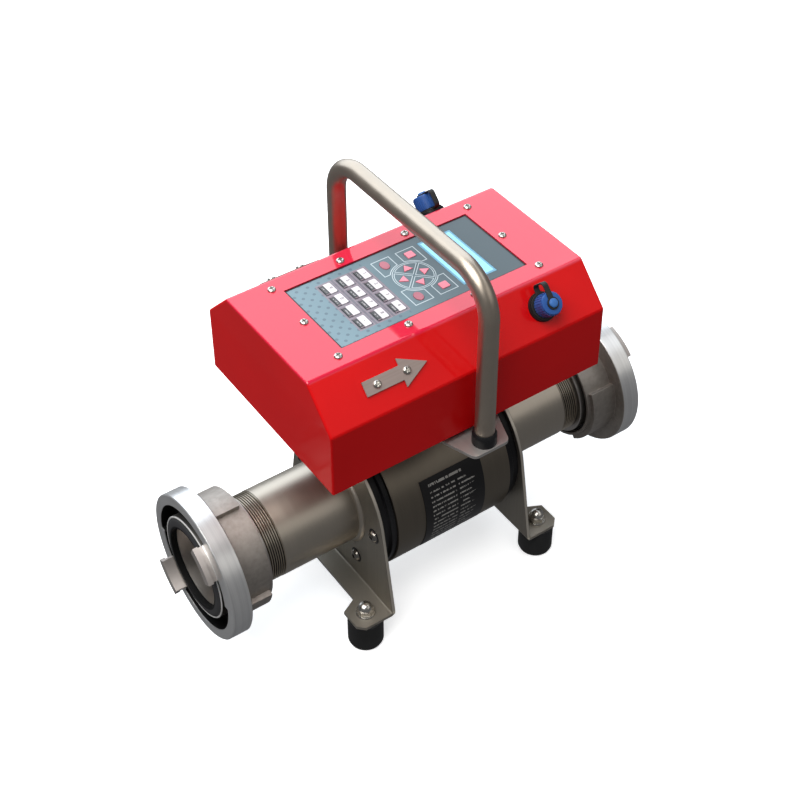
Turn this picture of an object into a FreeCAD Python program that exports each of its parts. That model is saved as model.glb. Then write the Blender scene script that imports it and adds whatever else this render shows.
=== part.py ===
import FreeCAD, Part
import math
import os

import Sketcher

# Portable electromagnetic flow meter with swivel hose couplings at both ends.
# X runs along the flow, +X is the outlet, the keypad faces up, +Z is up.
# The origin is on the floor, under the middle of the meter. Sizes are in millimetres.

driving = {
    # measuring tube and its fittings
    "axis_height": 104.0,
    "pipe_od": 76.1,
    "pipe_wall": 4.0,
    "liner_wall": 3.0,
    "thread_root_od": 72.2,
    "tube_reach": 190.0,
    "thread_length": 46.0,
    "weld_bead": 3.5,
    "electrode_d": 8.0,
    "electrode_length": 20.0,
    # sensor drum round the tube
    "sensor_offset": 2.0,
    "drum_od": 137.0,
    "drum_wall": 5.0,
    "drum_length": 115.0,
    "end_ring_width": 12.4,
    "end_ring_od": 133.0,
    "end_ring_step": 3.0,
    "coil_od": 50.0,
    "coil_core_d": 22.0,
    "coil_margin": 4.0,
    "nameplate_length": 60.0,
    "nameplate_sheet": 0.5,
    "nameplate_sweep": 64.0,
    "nameplate_tilt": 2.0,
    "neck_od": 44.0,
    "neck_wall": 3.0,
    "neck_height": 34.2,
    "neck_flange_length": 48.0,
    "neck_flange_width": 76.0,
    "neck_flange_sheet": 5.0,
    "neck_bolt_x": 17.0,
    "neck_bolt_y": 31.0,
    # support brackets and feet
    "bracket_sheet": 3.0,
    "bracket_crown_r": 67.0,
    "bracket_half_width": 81.5,
    "bracket_bend_r": 1.5,
    "bracket_flange_reach": 18.0,
    "bracket_tab_reach": 32.5,
    "bracket_tab_width": 32.0,
    "bracket_tab_chamfer": 6.0,
    "bracket_pitch_circle": 110.0,
    "foot_height": 30.0,
    "foot_d": 30.4,
    "foot_x": 91.0,
    "foot_y": 67.3,
    "foot_edge": 3.5,
    "stud_d": 8.0,
    "stud_depth": 12.0,
    "nut_across": 13.0,
    "nut_height": 6.5,
    "nut_dome": 5.0,
    # hose couplings, measured back from the coupling face, which stands out from the tube end
    "coupling_overhang": 17.6,
    "rim_width": 17.4,
    "rim_od": 127.0,
    "rim_chamfer": 0.8,
    "collar_length": 45.1,
    "collar_od": 94.5,
    "cam_length": 42.1,
    "cam_od": 104.0,
    "cam_sweep": 84.0,
    "cam_lead": 77.0,
    "groove_depth": 12.0,
    "groove_od": 108.8,
    "lip_width": 4.5,
    "lip_id": 100.0,
    "lip_sweep": 63.0,
    "lip_lead": -14.5,
    "lug_reach": 9.5,
    "lug_id": 92.0,
    "lug_sweep": 34.0,
    "lug_nose_width": 4.5,
    "lug_nose_od": 107.4,
    "lug_turn_inlet": -42.0,
    "lug_turn_outlet": 28.0,
    "tail_length": 48.6,
    "tail_neck_od": 83.0,
    "tail_od": 89.0,
    "tail_head_length": 31.6,
    "tail_bore": 69.0,
    "ring_rib_width": 4.0,
    "snap_ring_width": 2.2,
    "snap_ring_od": 88.2,
    "snap_groove_depth": 1.0,
    "gasket_od": 86.0,
    "gasket_id": 69.4,
    "gasket_depth": 4.0,
    "gasket_lip_od": 78.0,
    "gasket_proud": 1.5,
    # electronics housing
    "box_length": 257.3,
    "top_width": 115.9,
    "slope_height": 32.0,
    "side_height": 57.8,
    "box_sheet": 1.5,
    "bend_r": 2.5,
    "return_flange": 12.0,
    "base_inset": 3.0,
    "base_sheet": 1.5,
    "spacer_height": 4.7,
    "spacer_d": 18.0,
    "spacer_x": 16.0,
    "spacer_y": 60.0,
    "wire_hole_d": 24.0,
    "window_length": 174.3,
    "window_width": 81.6,
    "cover_screw_x": 94.0,
    "cover_screw_inner_x": 31.0,
    "cover_screw_y": 47.0,
    # handle
    "plate_sheet": 3.0,
    "plate_half_length": 113.0,
    "plate_end_width": 33.0,
    "plate_mid_width": 56.0,
    "plate_tip_length": 33.0,
    "plate_corner_r": 6.0,
    "handle_od": 16.0,
    "handle_wall": 1.5,
    "handle_inset": 10.8,
    "handle_gap": 5.1,
    "handle_clear_height": 50.3,
    "handle_bend_r": 34.0,
    "handle_plug": 20.0,
    "ferrule_od": 20.0,
    "ferrule_height": 11.0,
    # panel, keys and display
    "panel_sheet": 2.0,
    "panel_length": 204.0,
    "panel_width": 104.0,
    "overlay_sheet": 0.5,
    "key_proud": 0.6,
    "key_pitch": 15.8,
    "key_length": 10.0,
    "key_width": 12.4,
    "key_corner_r": 1.0,
    "key_flange": 1.0,
    "key_travel_gap": 1.0,
    "first_row_x": -25.7,
    "nav_x": 7.2,
    "arrow_ring_r": 9.8,
    "arrow_key_r": 4.6,
    "function_x": 12.1,
    "function_y": 23.1,
    "function_key": 7.4,
    "oval_key_length": 7.4,
    "oval_key_width": 10.4,
    "display_x": 48.2,
    "display_length": 32.0,
    "display_width": 63.6,
    "board_sheet": 1.6,
    "board_length": 150.0,
    "board_width": 82.0,
    "board_post_d": 6.0,
    "board_post_inset": 5.0,
    "main_board_length": 100.0,
    "main_board_width": 130.0,
    "main_board_x": 66.0,
    "main_board_rise": 8.0,
    "battery_length": 100.0,
    "battery_width": 74.0,
    "battery_height": 38.0,
    "battery_x": -62.0,
    "battery_edge": 3.0,
    # connectors and arrow plates on the sloped sides
    "connector_x": 76.5,
    "connector_flange_d": 24.0,
    "connector_flange": 3.0,
    "connector_d": 16.4,
    "connector_height": 13.0,
    "connector_depth": 16.0,
    "connector_recess": 2.0,
    "connector_nut_across": 22.0,
    "connector_nut": 4.0,
    "cap_od": 19.4,
    "cap_foot": 5.0,
    "cap_top": 17.5,
    "cap_crown": 2.5,
    "button_d": 7.4,
    "button_stem_d": 4.0,
    "button_height": 1.6,
    "strap_sheet": 1.2,
    "strap_width": 4.6,
    "strap_reach": 18.0,
    "strap_bend_r": 4.0,
    "strap_eye_d": 10.0,
    "strap_ring_d": 22.0,
    "arrow_x": -61.4,
    "arrow_length": 56.0,
    "arrow_head": 23.2,
    "arrow_head_width": 23.0,
    "arrow_shaft_width": 11.6,
    "arrow_sheet": 1.5,
    "arrow_screw_back": -17.0,
    "arrow_screw_front": 9.6,
    # fasteners and clearances
    "small_screw_d": 4.0,
    "small_head_d": 7.6,
    "small_head": 2.2,
    "small_grip": 6.0,
    "frame_screw_d": 6.0,
    "frame_head_d": 10.5,
    "frame_head": 3.3,
    "thread_engagement": 4.0,
    "swivel_clearance": 0.3,
    "cap_clearance": 0.3,
    "fit_clearance": 0.05,
    "hole_clearance": 0.2,
    "key_clearance": 0.25,
}

doc = FreeCAD.newDocument("flow_meter")
sheet = doc.addObject("Spreadsheet::Sheet", "dims")
for row, (name, number) in enumerate(driving.items(), start=1):
    sheet.set("A%d" % row, name)
    sheet.set("B%d" % row, str(number))
    sheet.setAlias("B%d" % row, name)
doc.recompute()


class Size:
    """A number together with the sheet formula that gives it."""

    def __init__(self, value, text):
        self.value = float(value)
        self.text = text

    def joined(self, other, sign, value):
        return Size(value, "(%s %s %s)" % (self.text, sign, as_size(other).text))

    def __add__(self, other):
        return self.joined(other, "+", self.value + as_size(other).value)

    def __sub__(self, other):
        return self.joined(other, "-", self.value - as_size(other).value)

    def __mul__(self, other):
        return self.joined(other, "*", self.value * as_size(other).value)

    def __truediv__(self, other):
        return self.joined(other, "/", self.value / as_size(other).value)

    def __neg__(self):
        return Size(-self.value, "(0 - %s)" % self.text)

    def __radd__(self, other):
        return as_size(other) + self

    def __rsub__(self, other):
        return as_size(other) - self

    def __rmul__(self, other):
        return as_size(other) * self


def as_size(number):
    return number if isinstance(number, Size) else Size(number, repr(float(number)))


def root_of(size):
    return Size(math.sqrt(size.value), "sqrt(%s)" % size.text)


def cosine(angle):
    return Size(math.cos(math.radians(angle.value)), "cos(%s)" % angle.text)


def sine(angle):
    return Size(math.sin(math.radians(angle.value)), "sin(%s)" % angle.text)


class Driving:
    """Gives each cell of the sheet by its name."""

    def __getattr__(self, name):
        return Size(sheet.get(name), "dims.%s" % name)


d = Driving()
nothing = as_size(0)

# Levels and radii that several pieces share, all worked out from the sheet.
pipe_r = d.pipe_od / 2
bore_r = pipe_r - d.pipe_wall
liner_r = bore_r - d.liner_wall
drum_r = d.drum_od / 2
drum_half = d.drum_length / 2
bracket_inner = drum_half + d.end_ring_width
bracket_face = bracket_inner + d.bracket_sheet
plate_bottom = d.axis_height + drum_r + d.neck_height
plate_top = plate_bottom + d.plate_sheet
base_bottom = plate_top + d.spacer_height
cover_bottom = base_bottom + d.base_sheet
slope_foot = cover_bottom + d.side_height
cover_top = slope_foot + d.slope_height
panel_top = cover_top - d.box_sheet
panel_bottom = panel_top - d.panel_sheet
overlay_top = panel_top + d.overlay_sheet
board_top = panel_bottom - d.key_flange - d.key_travel_gap - d.hole_clearance
handle_y = d.plate_half_length - d.handle_inset
box_width = (handle_y - d.handle_od / 2 - d.handle_gap) * 2
slope_run = (box_width - d.top_width) / 2
slope_angle = Size(
    math.degrees(math.atan2(d.slope_height.value, slope_run.value)),
    "atan2(%s; %s)" % (d.slope_height.text, slope_run.text),
)
slope_length = root_of(slope_run * slope_run + d.slope_height * d.slope_height)
slope_sine = d.slope_height / slope_length
slope_cosine = slope_run / slope_length
slope_middle_y = (box_width + d.top_width) / 4
slope_middle_z = slope_foot + d.slope_height / 2
sensor = (d.sensor_offset, nothing, d.axis_height)
thread_start = d.tube_reach - d.thread_length
coupling_face = d.tube_reach + d.coupling_overhang
quarter_turn = as_size(90)
half_turn = as_size(180)
sub_parts = []


def bind(thing, path, size):
    thing.setExpression(path, size.text)


def place(thing, at, axis=(0, 0, 1), angle=None):
    """Puts a sub-part at a point, turned about one axis."""
    turn = FreeCAD.Rotation(FreeCAD.Vector(*axis), angle.value if angle else 0)
    thing.Placement = FreeCAD.Placement(FreeCAD.Vector(*(c.value for c in at)), turn)
    for letter, size in zip("xyz", at):
        bind(thing, "Placement.Base." + letter, size)
    if angle:
        bind(thing, "Placement.Rotation.Angle", angle)


def keep(thing, label):
    thing.Label = label
    sub_parts.append(thing)
    return thing


def group(label, members):
    """Identical pieces that share one node as separate solids."""
    bundle = doc.addObject("Part::Compound", label)
    bundle.Links = members
    return keep(bundle, label)


def new_body(name):
    return doc.addObject("PartDesign::Body", name)


def sketch_on(body, role, shift=None, turn=None):
    """A sketch on one of the body's own planes, moved along its normal or turned about its x axis."""
    sketch = body.newObject("Sketcher::SketchObject", body.Name + "_sketch")
    plane = next(p for p in body.Origin.OriginFeatures if p.Role == role)
    sketch.AttachmentSupport = [(plane, "")]
    sketch.MapMode = "FlatFace"
    if turn:
        offset = FreeCAD.Rotation(FreeCAD.Vector(1, 0, 0), turn.value)
        sketch.AttachmentOffset = FreeCAD.Placement(FreeCAD.Vector(), offset)
        bind(sketch, "AttachmentOffset.Rotation.Angle", turn)
    if shift:
        bind(sketch, "AttachmentOffset.Base.z", shift)
    return sketch


def slope_sketch(body, side):
    """A sketch on the front (-1) or rear (+1) sloped side, with its origin mid-slope."""
    sketch = sketch_on(body, "XY_Plane", slope_middle_z, -side * slope_angle)
    bind(sketch, "AttachmentOffset.Base.y", side * slope_middle_y)
    return sketch


def pin(sketch, geometry, end, x, y):
    for kind, size in (("DistanceX", x), ("DistanceY", y)):
        size = as_size(size)
        index = sketch.addConstraint(Sketcher.Constraint(kind, -1, 1, geometry, end, size.value))
        bind(sketch, "Constraints[%d]" % index, size)


def vector(x, y):
    return FreeCAD.Vector(as_size(x).value, as_size(y).value, 0)


def outline(sketch, points):
    """A closed outline of straight lines through the points."""
    first = sketch.GeometryCount
    count = len(points)
    for i in range(count):
        sketch.addGeometry(Part.LineSegment(vector(*points[i]), vector(*points[(i + 1) % count])))
    for i in range(count):
        sketch.addConstraint(Sketcher.Constraint("Coincident", first + i, 2, first + (i + 1) % count, 1))
    for i, (x, y) in enumerate(points):
        pin(sketch, first + i, 1, x, y)


def rectangle(sketch, x0, y0, x1, y1):
    outline(sketch, [(x0, y0), (x1, y0), (x1, y1), (x0, y1)])


def centred(sketch, x, y, length, width):
    rectangle(sketch, x - length / 2, y - width / 2, x + length / 2, y + width / 2)


def circle(sketch, x, y, radius):
    index = sketch.addGeometry(Part.Circle(vector(x, y), FreeCAD.Vector(0, 0, 1), radius.value))
    pin(sketch, index, 3, x, y)
    limit = sketch.addConstraint(Sketcher.Constraint("Radius", index, radius.value))
    bind(sketch, "Constraints[%d]" % limit, radius)


def revolve(body, points, axis, sweep=None, turn=None):
    """Turns an outline in the XZ plane about the body's X or Z axis, all round or over a sweep."""
    sketch = sketch_on(body, "XZ_Plane", turn=turn)
    outline(sketch, points)
    feature = body.newObject("PartDesign::Revolution", body.Name + "_turned")
    feature.Profile = sketch
    feature.ReferenceAxis = (sketch, ["H_Axis" if axis == "X" else "V_Axis"])
    feature.Angle = 360
    if sweep:
        feature.Midplane = True
        bind(feature, "Angle", sweep)
    sketch.Visibility = False
    return feature


def turned(name, points, axis):
    body = new_body(name)
    revolve(body, points, axis)
    return body


def extrude(kind, body, sketch, length, symmetric=False, reverse=False):
    feature = body.newObject("PartDesign::" + kind, body.Name + "_" + kind.lower())
    feature.Profile = sketch
    bind(feature, "Length", length)
    if symmetric:
        feature.SideType = "Symmetric"
    feature.Reversed = reverse
    doc.recompute()
    return feature


def pad(body, sketch, length, **how):
    return extrude("Pad", body, sketch, length, **how)


def pocket(body, sketch, length, **how):
    sketch.recompute()
    doc.recompute()
    before = body.Shape.Volume
    feature = extrude("Pocket", body, sketch, length, **how)
    if body.Shape.Volume >= before:
        raise ValueError("a pocket of %s cuts nothing" % body.Name)
    return feature


def soften(body, kind, radius, choose):
    """Fillets or chamfers the edges of the body that the test picks."""
    doc.recompute()
    base = body.Tip
    names = ["Edge%d" % (i + 1) for i, edge in enumerate(base.Shape.Edges) if choose(edge)]
    feature = body.newObject("PartDesign::" + kind, body.Name + "_" + kind.lower())
    feature.Base = (base, names)
    bind(feature, "Radius" if kind == "Fillet" else "Size", radius)
    doc.recompute()
    return feature


def runs_along(edge, axis):
    """True for a straight edge along the axis, given by its letter."""
    if edge.Curve.TypeId != "Part::GeomLine":
        return False
    way = edge.Vertexes[-1].Point - edge.Vertexes[0].Point
    return abs(getattr(way.normalize(), axis)) > 0.999


def near(a, b):
    return abs(a - b.value) < 1e-4


# Measuring tube, liner, electrodes and coils

def make_tube():
    root_r = d.thread_root_od / 2
    bead_left = d.sensor_offset - bracket_face
    bead_right = d.sensor_offset + bracket_face
    body = turned("measuring_tube", [
        (-d.tube_reach, bore_r), (-d.tube_reach, root_r), (-thread_start, root_r),
        (-thread_start, pipe_r), (bead_left - d.weld_bead, pipe_r),
        (bead_left, pipe_r + d.weld_bead), (bead_left, pipe_r),
        (bead_right, pipe_r), (bead_right, pipe_r + d.weld_bead),
        (bead_right + d.weld_bead, pipe_r), (thread_start, pipe_r), (thread_start, root_r),
        (d.tube_reach, root_r), (d.tube_reach, bore_r),
    ], "X")
    drill_electrodes(body)
    place(body, (nothing, nothing, d.axis_height))
    keep(body, "measuring_tube")


def drill_electrodes(body):
    holes = sketch_on(body, "XZ_Plane")
    circle(holes, d.sensor_offset, 0, d.electrode_d / 2 + d.fit_clearance)
    pocket(body, holes, d.pipe_od * 2, symmetric=True)


def make_liner():
    outer = bore_r - d.fit_clearance
    body = turned("tube_liner", [
        (-d.tube_reach, liner_r), (-d.tube_reach, outer), (d.tube_reach, outer), (d.tube_reach, liner_r),
    ], "X")
    drill_electrodes(body)
    place(body, (nothing, nothing, d.axis_height))
    keep(body, "tube_liner")


def make_electrodes():
    members = []
    head_start = pipe_r + d.fit_clearance
    head_r = d.electrode_d * 0.8
    for side in (-1, 1):
        body = turned("electrode", [
            (nothing, liner_r), (d.electrode_d / 2, liner_r), (d.electrode_d / 2, head_start),
            (head_r, head_start), (head_r, liner_r + d.electrode_length),
            (nothing, liner_r + d.electrode_length),
        ], "Z")
        place(body, sensor, (1, 0, 0), -side * quarter_turn)
        members.append(body)
    group("electrodes", members)


def make_coils():
    cavity_r = drum_r - d.drum_wall
    low = pipe_r + d.fit_clearance
    high = cavity_r - d.fit_clearance
    members = []
    for turn in (nothing, half_turn):
        body = turned("coil", [
            (nothing, low), (d.coil_core_d / 2, low), (d.coil_core_d / 2, low + d.coil_margin),
            (d.coil_od / 2, low + d.coil_margin), (d.coil_od / 2, high - d.coil_margin * 1.8),
            (d.coil_core_d / 2, high - d.coil_margin * 1.8), (d.coil_core_d / 2, high - d.coil_margin / 2),
            (nothing, high - d.coil_margin / 2),
        ], "Z")
        place(body, sensor, (1, 0, 0), turn)
        members.append(body)
    group("excitation_coils", members)


# Sensor drum with its neck, end rings and nameplate

def make_drum():
    body = new_body("sensor_housing")
    cavity = drum_half - d.drum_wall
    bore = pipe_r + d.fit_clearance
    revolve(body, [
        (-drum_half, bore), (-drum_half, drum_r), (drum_half, drum_r), (drum_half, bore),
        (cavity, bore), (cavity, drum_r - d.drum_wall), (-cavity, drum_r - d.drum_wall), (-cavity, bore),
    ], "X")
    channel = sketch_on(body, "XY_Plane", drum_r)
    circle(channel, 0, 0, d.neck_od / 2 - d.neck_wall)
    pocket(body, channel, d.drum_wall + d.neck_wall)
    drill_pitch_circle(body, drum_half, d.drum_wall, d.fit_clearance, -1)
    drill_pitch_circle(body, -drum_half, d.drum_wall, d.fit_clearance, 1)
    place(body, sensor)
    keep(body, "sensor_housing")


def make_neck():
    """A tube that stands on the drum with a saddle foot and carries the handle plate on its flange."""
    body = new_body("sensor_neck")
    neck_r = d.neck_od / 2
    flange_top = drum_r + d.neck_height
    tube = sketch_on(body, "XY_Plane", flange_top)
    circle(tube, 0, 0, neck_r)
    pad(body, tube, flange_top, reverse=True)
    flange = sketch_on(body, "XY_Plane", flange_top)
    centred(flange, nothing, nothing, d.neck_flange_length, d.neck_flange_width)
    pad(body, flange, d.neck_flange_sheet, reverse=True)
    soften(body, "Fillet", d.plate_corner_r, lambda e: runs_along(e, "z") and near(
        abs(e.CenterOfMass.y), d.neck_flange_width / 2))
    holes = sketch_on(body, "XY_Plane", flange_top)
    circle(holes, 0, 0, neck_r - d.neck_wall)
    for x in (-d.neck_bolt_x, d.neck_bolt_x):
        for y in (-d.neck_bolt_y, d.neck_bolt_y):
            circle(holes, x, y, d.frame_screw_d / 2 + d.fit_clearance)
    pocket(body, holes, flange_top)
    saddle = sketch_on(body, "YZ_Plane")
    circle(saddle, 0, 0, drum_r + d.fit_clearance)
    pocket(body, saddle, d.neck_od * 2, symmetric=True)
    place(body, sensor)
    keep(body, "sensor_neck")


def pitch_points():
    """Places of the six bracket screws round the tube, as y and z from its axis."""
    radius = d.bracket_pitch_circle / 2
    for step in range(6):
        angle = as_size(60 * step)
        yield radius * cosine(angle), radius * sine(angle)


def drill_pitch_circle(body, at, depth, clearance, way):
    holes = sketch_on(body, "YZ_Plane", at)
    for y, z in pitch_points():
        circle(holes, y, z, d.frame_screw_d / 2 + clearance)
    pocket(body, holes, depth, reverse=way > 0)


def make_end_rings():
    inner = pipe_r + d.hole_clearance
    outer = d.end_ring_od / 2
    members = []
    for turn in (nothing, half_turn):
        body = turned("end_ring", [
            (drum_half, inner), (drum_half, outer), (drum_half + d.end_ring_width * 0.4, outer),
            (drum_half + d.end_ring_width * 0.4, outer - d.end_ring_step),
            (bracket_inner, outer - d.end_ring_step), (bracket_inner, inner),
        ], "X")
        drill_pitch_circle(body, bracket_inner, d.end_ring_width, d.hole_clearance, -1)
        place(body, sensor, (0, 0, 1), turn)
        members.append(body)
    group("end_rings", members)


def make_nameplate():
    inner = drum_r + d.fit_clearance
    half = d.nameplate_length / 2
    body = new_body("nameplate")
    revolve(body, [
        (-half, inner), (half, inner), (half, inner + d.nameplate_sheet), (-half, inner + d.nameplate_sheet),
    ], "X", sweep=d.nameplate_sweep, turn=quarter_turn - d.nameplate_tilt)
    place(body, sensor)
    keep(body, "nameplate")


# Support brackets, their screws and the feet

def make_bracket(label, turn):
    body = new_body(label)
    floor = d.foot_height - d.axis_height
    plate = sketch_on(body, "YZ_Plane", bracket_inner)
    crown_plate(plate, floor)
    circle(plate, 0, 0, pipe_r + d.hole_clearance)
    for y, z in pitch_points():
        circle(plate, y, z, d.frame_screw_d / 2 + d.hole_clearance)
    pad(body, plate, d.bracket_sheet)
    flange = sketch_on(body, "XY_Plane", floor)
    half = d.bracket_half_width
    tab = bracket_face + d.bracket_tab_reach
    middle = bracket_face + d.bracket_flange_reach
    notch = half - d.bracket_tab_width
    slant = d.bracket_tab_reach - d.bracket_flange_reach
    side = [
        (bracket_inner, half), (tab - d.bracket_tab_chamfer, half), (tab, half - d.bracket_tab_chamfer),
        (tab, notch + slant / 2), (middle, notch),
    ]
    outline(flange, side + [(x, -y) for x, y in reversed(side)])
    for y in (-d.foot_y, d.foot_y):
        circle(flange, d.foot_x, y, d.stud_d / 2 + d.hole_clearance)
    pad(body, flange, d.bracket_sheet)
    soften(body, "Fillet", d.bracket_bend_r, lambda e: runs_along(e, "y") and near(
        e.CenterOfMass.x, bracket_face) and near(e.CenterOfMass.z, floor + d.bracket_sheet))
    soften(body, "Fillet", d.bracket_sheet * 0.8, lambda e: runs_along(e, "y") and near(
        e.CenterOfMass.x, bracket_inner) and near(e.CenterOfMass.z, floor))
    place(body, sensor, (0, 0, 1), turn)
    keep(body, label)


def crown_plate(sketch, floor):
    """A round crown about the tube axis, with straight sides down to the two bottom corners."""
    half = d.bracket_half_width.value
    crown = d.bracket_crown_r.value
    reach = math.hypot(half, floor.value)
    rise = math.degrees(math.atan2(floor.value, half) + math.acos(crown / reach))
    start = math.radians(rise)
    arc = sketch.addGeometry(Part.ArcOfCircle(
        Part.Circle(FreeCAD.Vector(), FreeCAD.Vector(0, 0, 1), crown), start, math.pi - start))
    right = FreeCAD.Vector(crown * math.cos(start), crown * math.sin(start), 0)
    left = FreeCAD.Vector(-right.x, right.y, 0)
    bottom_right = vector(d.bracket_half_width, floor)
    bottom_left = vector(-d.bracket_half_width, floor)
    left_side = sketch.addGeometry(Part.LineSegment(left, bottom_left))
    bottom = sketch.addGeometry(Part.LineSegment(bottom_left, bottom_right))
    right_side = sketch.addGeometry(Part.LineSegment(bottom_right, right))
    sketch.addConstraint(Sketcher.Constraint("Coincident", arc, 3, -1, 1))
    sketch.addConstraint(Sketcher.Constraint("Coincident", left_side, 2, bottom, 1))
    sketch.addConstraint(Sketcher.Constraint("Coincident", bottom, 2, right_side, 1))
    sketch.addConstraint(Sketcher.Constraint("Tangent", arc, 2, left_side, 1))
    sketch.addConstraint(Sketcher.Constraint("Tangent", right_side, 2, arc, 1))
    limit = sketch.addConstraint(Sketcher.Constraint("Radius", arc, crown))
    bind(sketch, "Constraints[%d]" % limit, d.bracket_crown_r)
    pin(sketch, bottom, 1, -d.bracket_half_width, floor)
    pin(sketch, bottom, 2, d.bracket_half_width, floor)


def screw(name, head_r, head, shank_r, grip, at, axis=(0, 0, 1), angle=None):
    """A screw with a low domed head above its point and a shank below it."""
    crown = head_r * 0.6
    body = turned(name, [
        (nothing, -grip), (shank_r, -grip), (shank_r, nothing), (head_r, nothing),
        (head_r, head * 0.4), (crown, head), (nothing, head),
    ], "Z")
    place(body, at, axis, angle)
    return body


def frame_screw(grip, at, axis=(0, 0, 1), angle=None):
    return screw("frame_screw", d.frame_head_d / 2, d.frame_head, d.frame_screw_d / 2, grip, at, axis, angle)


def make_frame_screws():
    members = []
    grip = d.bracket_sheet + d.end_ring_width + d.thread_engagement
    for way in (-1, 1):
        for y, z in pitch_points():
            at = (d.sensor_offset + way * bracket_face, y, d.axis_height + z)
            members.append(frame_screw(grip, at, (0, 1, 0), way * quarter_turn))
    for x in (-d.neck_bolt_x, d.neck_bolt_x):
        for y in (-d.neck_bolt_y, d.neck_bolt_y):
            at = (d.sensor_offset + x, y, plate_top)
            members.append(frame_screw(d.plate_sheet + d.thread_engagement, at))
    for y in (-handle_y, handle_y):
        at = (d.sensor_offset, y, plate_bottom)
        grip = d.plate_sheet + d.handle_plug - d.thread_engagement
        members.append(frame_screw(grip, at, (1, 0, 0), half_turn))
    group("frame_screws", members)


def foot_points():
    for x in (-d.foot_x, d.foot_x):
        for y in (-d.foot_y, d.foot_y):
            yield d.sensor_offset + x, y


def make_feet():
    foot_r = d.foot_d / 2
    socket_r = d.stud_d / 2 + d.fit_clearance
    socket = d.foot_height - d.stud_depth - d.hole_clearance
    members = []
    for x, y in foot_points():
        body = turned("rubber_foot", [
            (nothing, nothing), (foot_r - d.foot_edge, nothing), (foot_r, d.foot_edge),
            (foot_r, d.foot_height), (socket_r, d.foot_height), (socket_r, socket), (nothing, socket),
        ], "Z")
        place(body, (x, y, nothing))
        members.append(body)
    group("rubber_feet", members)


def make_foot_nuts():
    seat = d.foot_height + d.bracket_sheet
    stud_r = d.stud_d / 2
    dome_r = d.nut_across * 0.46
    members = []
    for x, y in foot_points():
        body = new_body("foot_nut")
        sketch = sketch_on(body, "XY_Plane")
        hexagon(sketch, d.nut_across)
        pad(body, sketch, d.nut_height)
        revolve(body, [
            (nothing, -(d.bracket_sheet + d.stud_depth)), (stud_r, -(d.bracket_sheet + d.stud_depth)),
            (stud_r, d.nut_height / 2), (dome_r, d.nut_height / 2), (dome_r, d.nut_height),
            (dome_r * 0.75, d.nut_height + d.nut_dome * 0.7), (nothing, d.nut_height + d.nut_dome),
        ], "Z")
        place(body, (x, y, seat))
        members.append(body)
    group("foot_nuts", members)


def hexagon(sketch, across):
    radius = across / 2 / cosine(as_size(30))
    angles = [as_size(60 * step) for step in range(6)]
    outline(sketch, [(radius * cosine(a), radius * sine(a)) for a in angles])


# Hose couplings: tail, swivel ring with lugs and cams, gasket and snap ring

swivel_r = d.tail_od / 2 + d.swivel_clearance
neck_swivel_r = d.tail_neck_od / 2 + d.swivel_clearance
tail_back = coupling_face - d.tail_length
tail_step = coupling_face - d.tail_head_length
rib_front = tail_step - d.swivel_clearance
rib_back = rib_front - d.ring_rib_width
snap_front = rib_back - d.swivel_clearance
snap_back = snap_front - d.snap_ring_width
snap_groove_r = d.tail_neck_od / 2 - d.snap_groove_depth
gasket_seat = coupling_face - d.gasket_depth


def at_end(body, turn):
    place(body, (nothing, nothing, d.axis_height), (0, 0, 1), turn)
    return body


def make_tail(label, turn):
    socket_r = d.thread_root_od / 2 + d.fit_clearance
    neck_r = d.tail_neck_od / 2
    groove_gap = d.fit_clearance
    body = turned(label, [
        (tail_back, socket_r), (tail_back, neck_r), (snap_back - groove_gap, neck_r),
        (snap_back - groove_gap, snap_groove_r), (snap_front + groove_gap, snap_groove_r),
        (snap_front + groove_gap, neck_r), (tail_step, neck_r), (tail_step, d.tail_od / 2),
        (coupling_face, d.tail_od / 2), (coupling_face, d.gasket_od / 2 + d.fit_clearance),
        (gasket_seat, d.gasket_od / 2 + d.fit_clearance), (gasket_seat, d.tail_bore / 2),
        (d.tube_reach, d.tail_bore / 2), (d.tube_reach, socket_r),
    ], "X")
    keep(at_end(body, turn), label)


def make_lug_ring(label, turn, lug_turn):
    face = coupling_face
    rim_back = face - d.rim_width
    collar_back = face - d.collar_length
    cam_back = face - d.cam_length
    rim_r = d.rim_od / 2
    collar_r = d.collar_od / 2
    groove_floor = face - d.groove_depth
    body = turned(label, [
        (collar_back, swivel_r), (collar_back, collar_r), (rim_back, collar_r),
        (rim_back, rim_r - d.rim_chamfer), (rim_back + d.rim_chamfer, rim_r), (face - d.rim_chamfer, rim_r),
        (face, rim_r - d.rim_chamfer), (face, d.groove_od / 2), (groove_floor, d.groove_od / 2),
        (groove_floor, swivel_r), (rib_front, swivel_r), (rib_front, neck_swivel_r),
        (rib_back, neck_swivel_r), (rib_back, swivel_r),
    ], "X")
    lug_front = face + d.lug_reach
    lip_r = d.lip_id / 2
    cam = [(cam_back, swivel_r), (cam_back, d.cam_od / 2), (rim_back, d.cam_od / 2), (rim_back, swivel_r)]
    lip = [(face - d.lip_width, lip_r), (face, lip_r), (face, d.groove_od / 2),
           (face - d.lip_width, d.groove_od / 2)]
    lug = [(groove_floor, d.lug_id / 2), (lug_front, d.lug_id / 2), (lug_front, d.lug_nose_od / 2),
           (lug_front - d.lug_nose_width, d.lug_nose_od / 2), (lug_front - d.lug_nose_width, lip_r),
           (groove_floor, lip_r)]
    for half in (nothing, half_turn):
        revolve(body, cam, "X", sweep=d.cam_sweep, turn=lug_turn + d.cam_lead + half)
        revolve(body, lip, "X", sweep=d.lip_sweep, turn=lug_turn + d.lip_lead + half)
        revolve(body, lug, "X", sweep=d.lug_sweep, turn=lug_turn + half)
    keep(at_end(body, turn), label)


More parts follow.
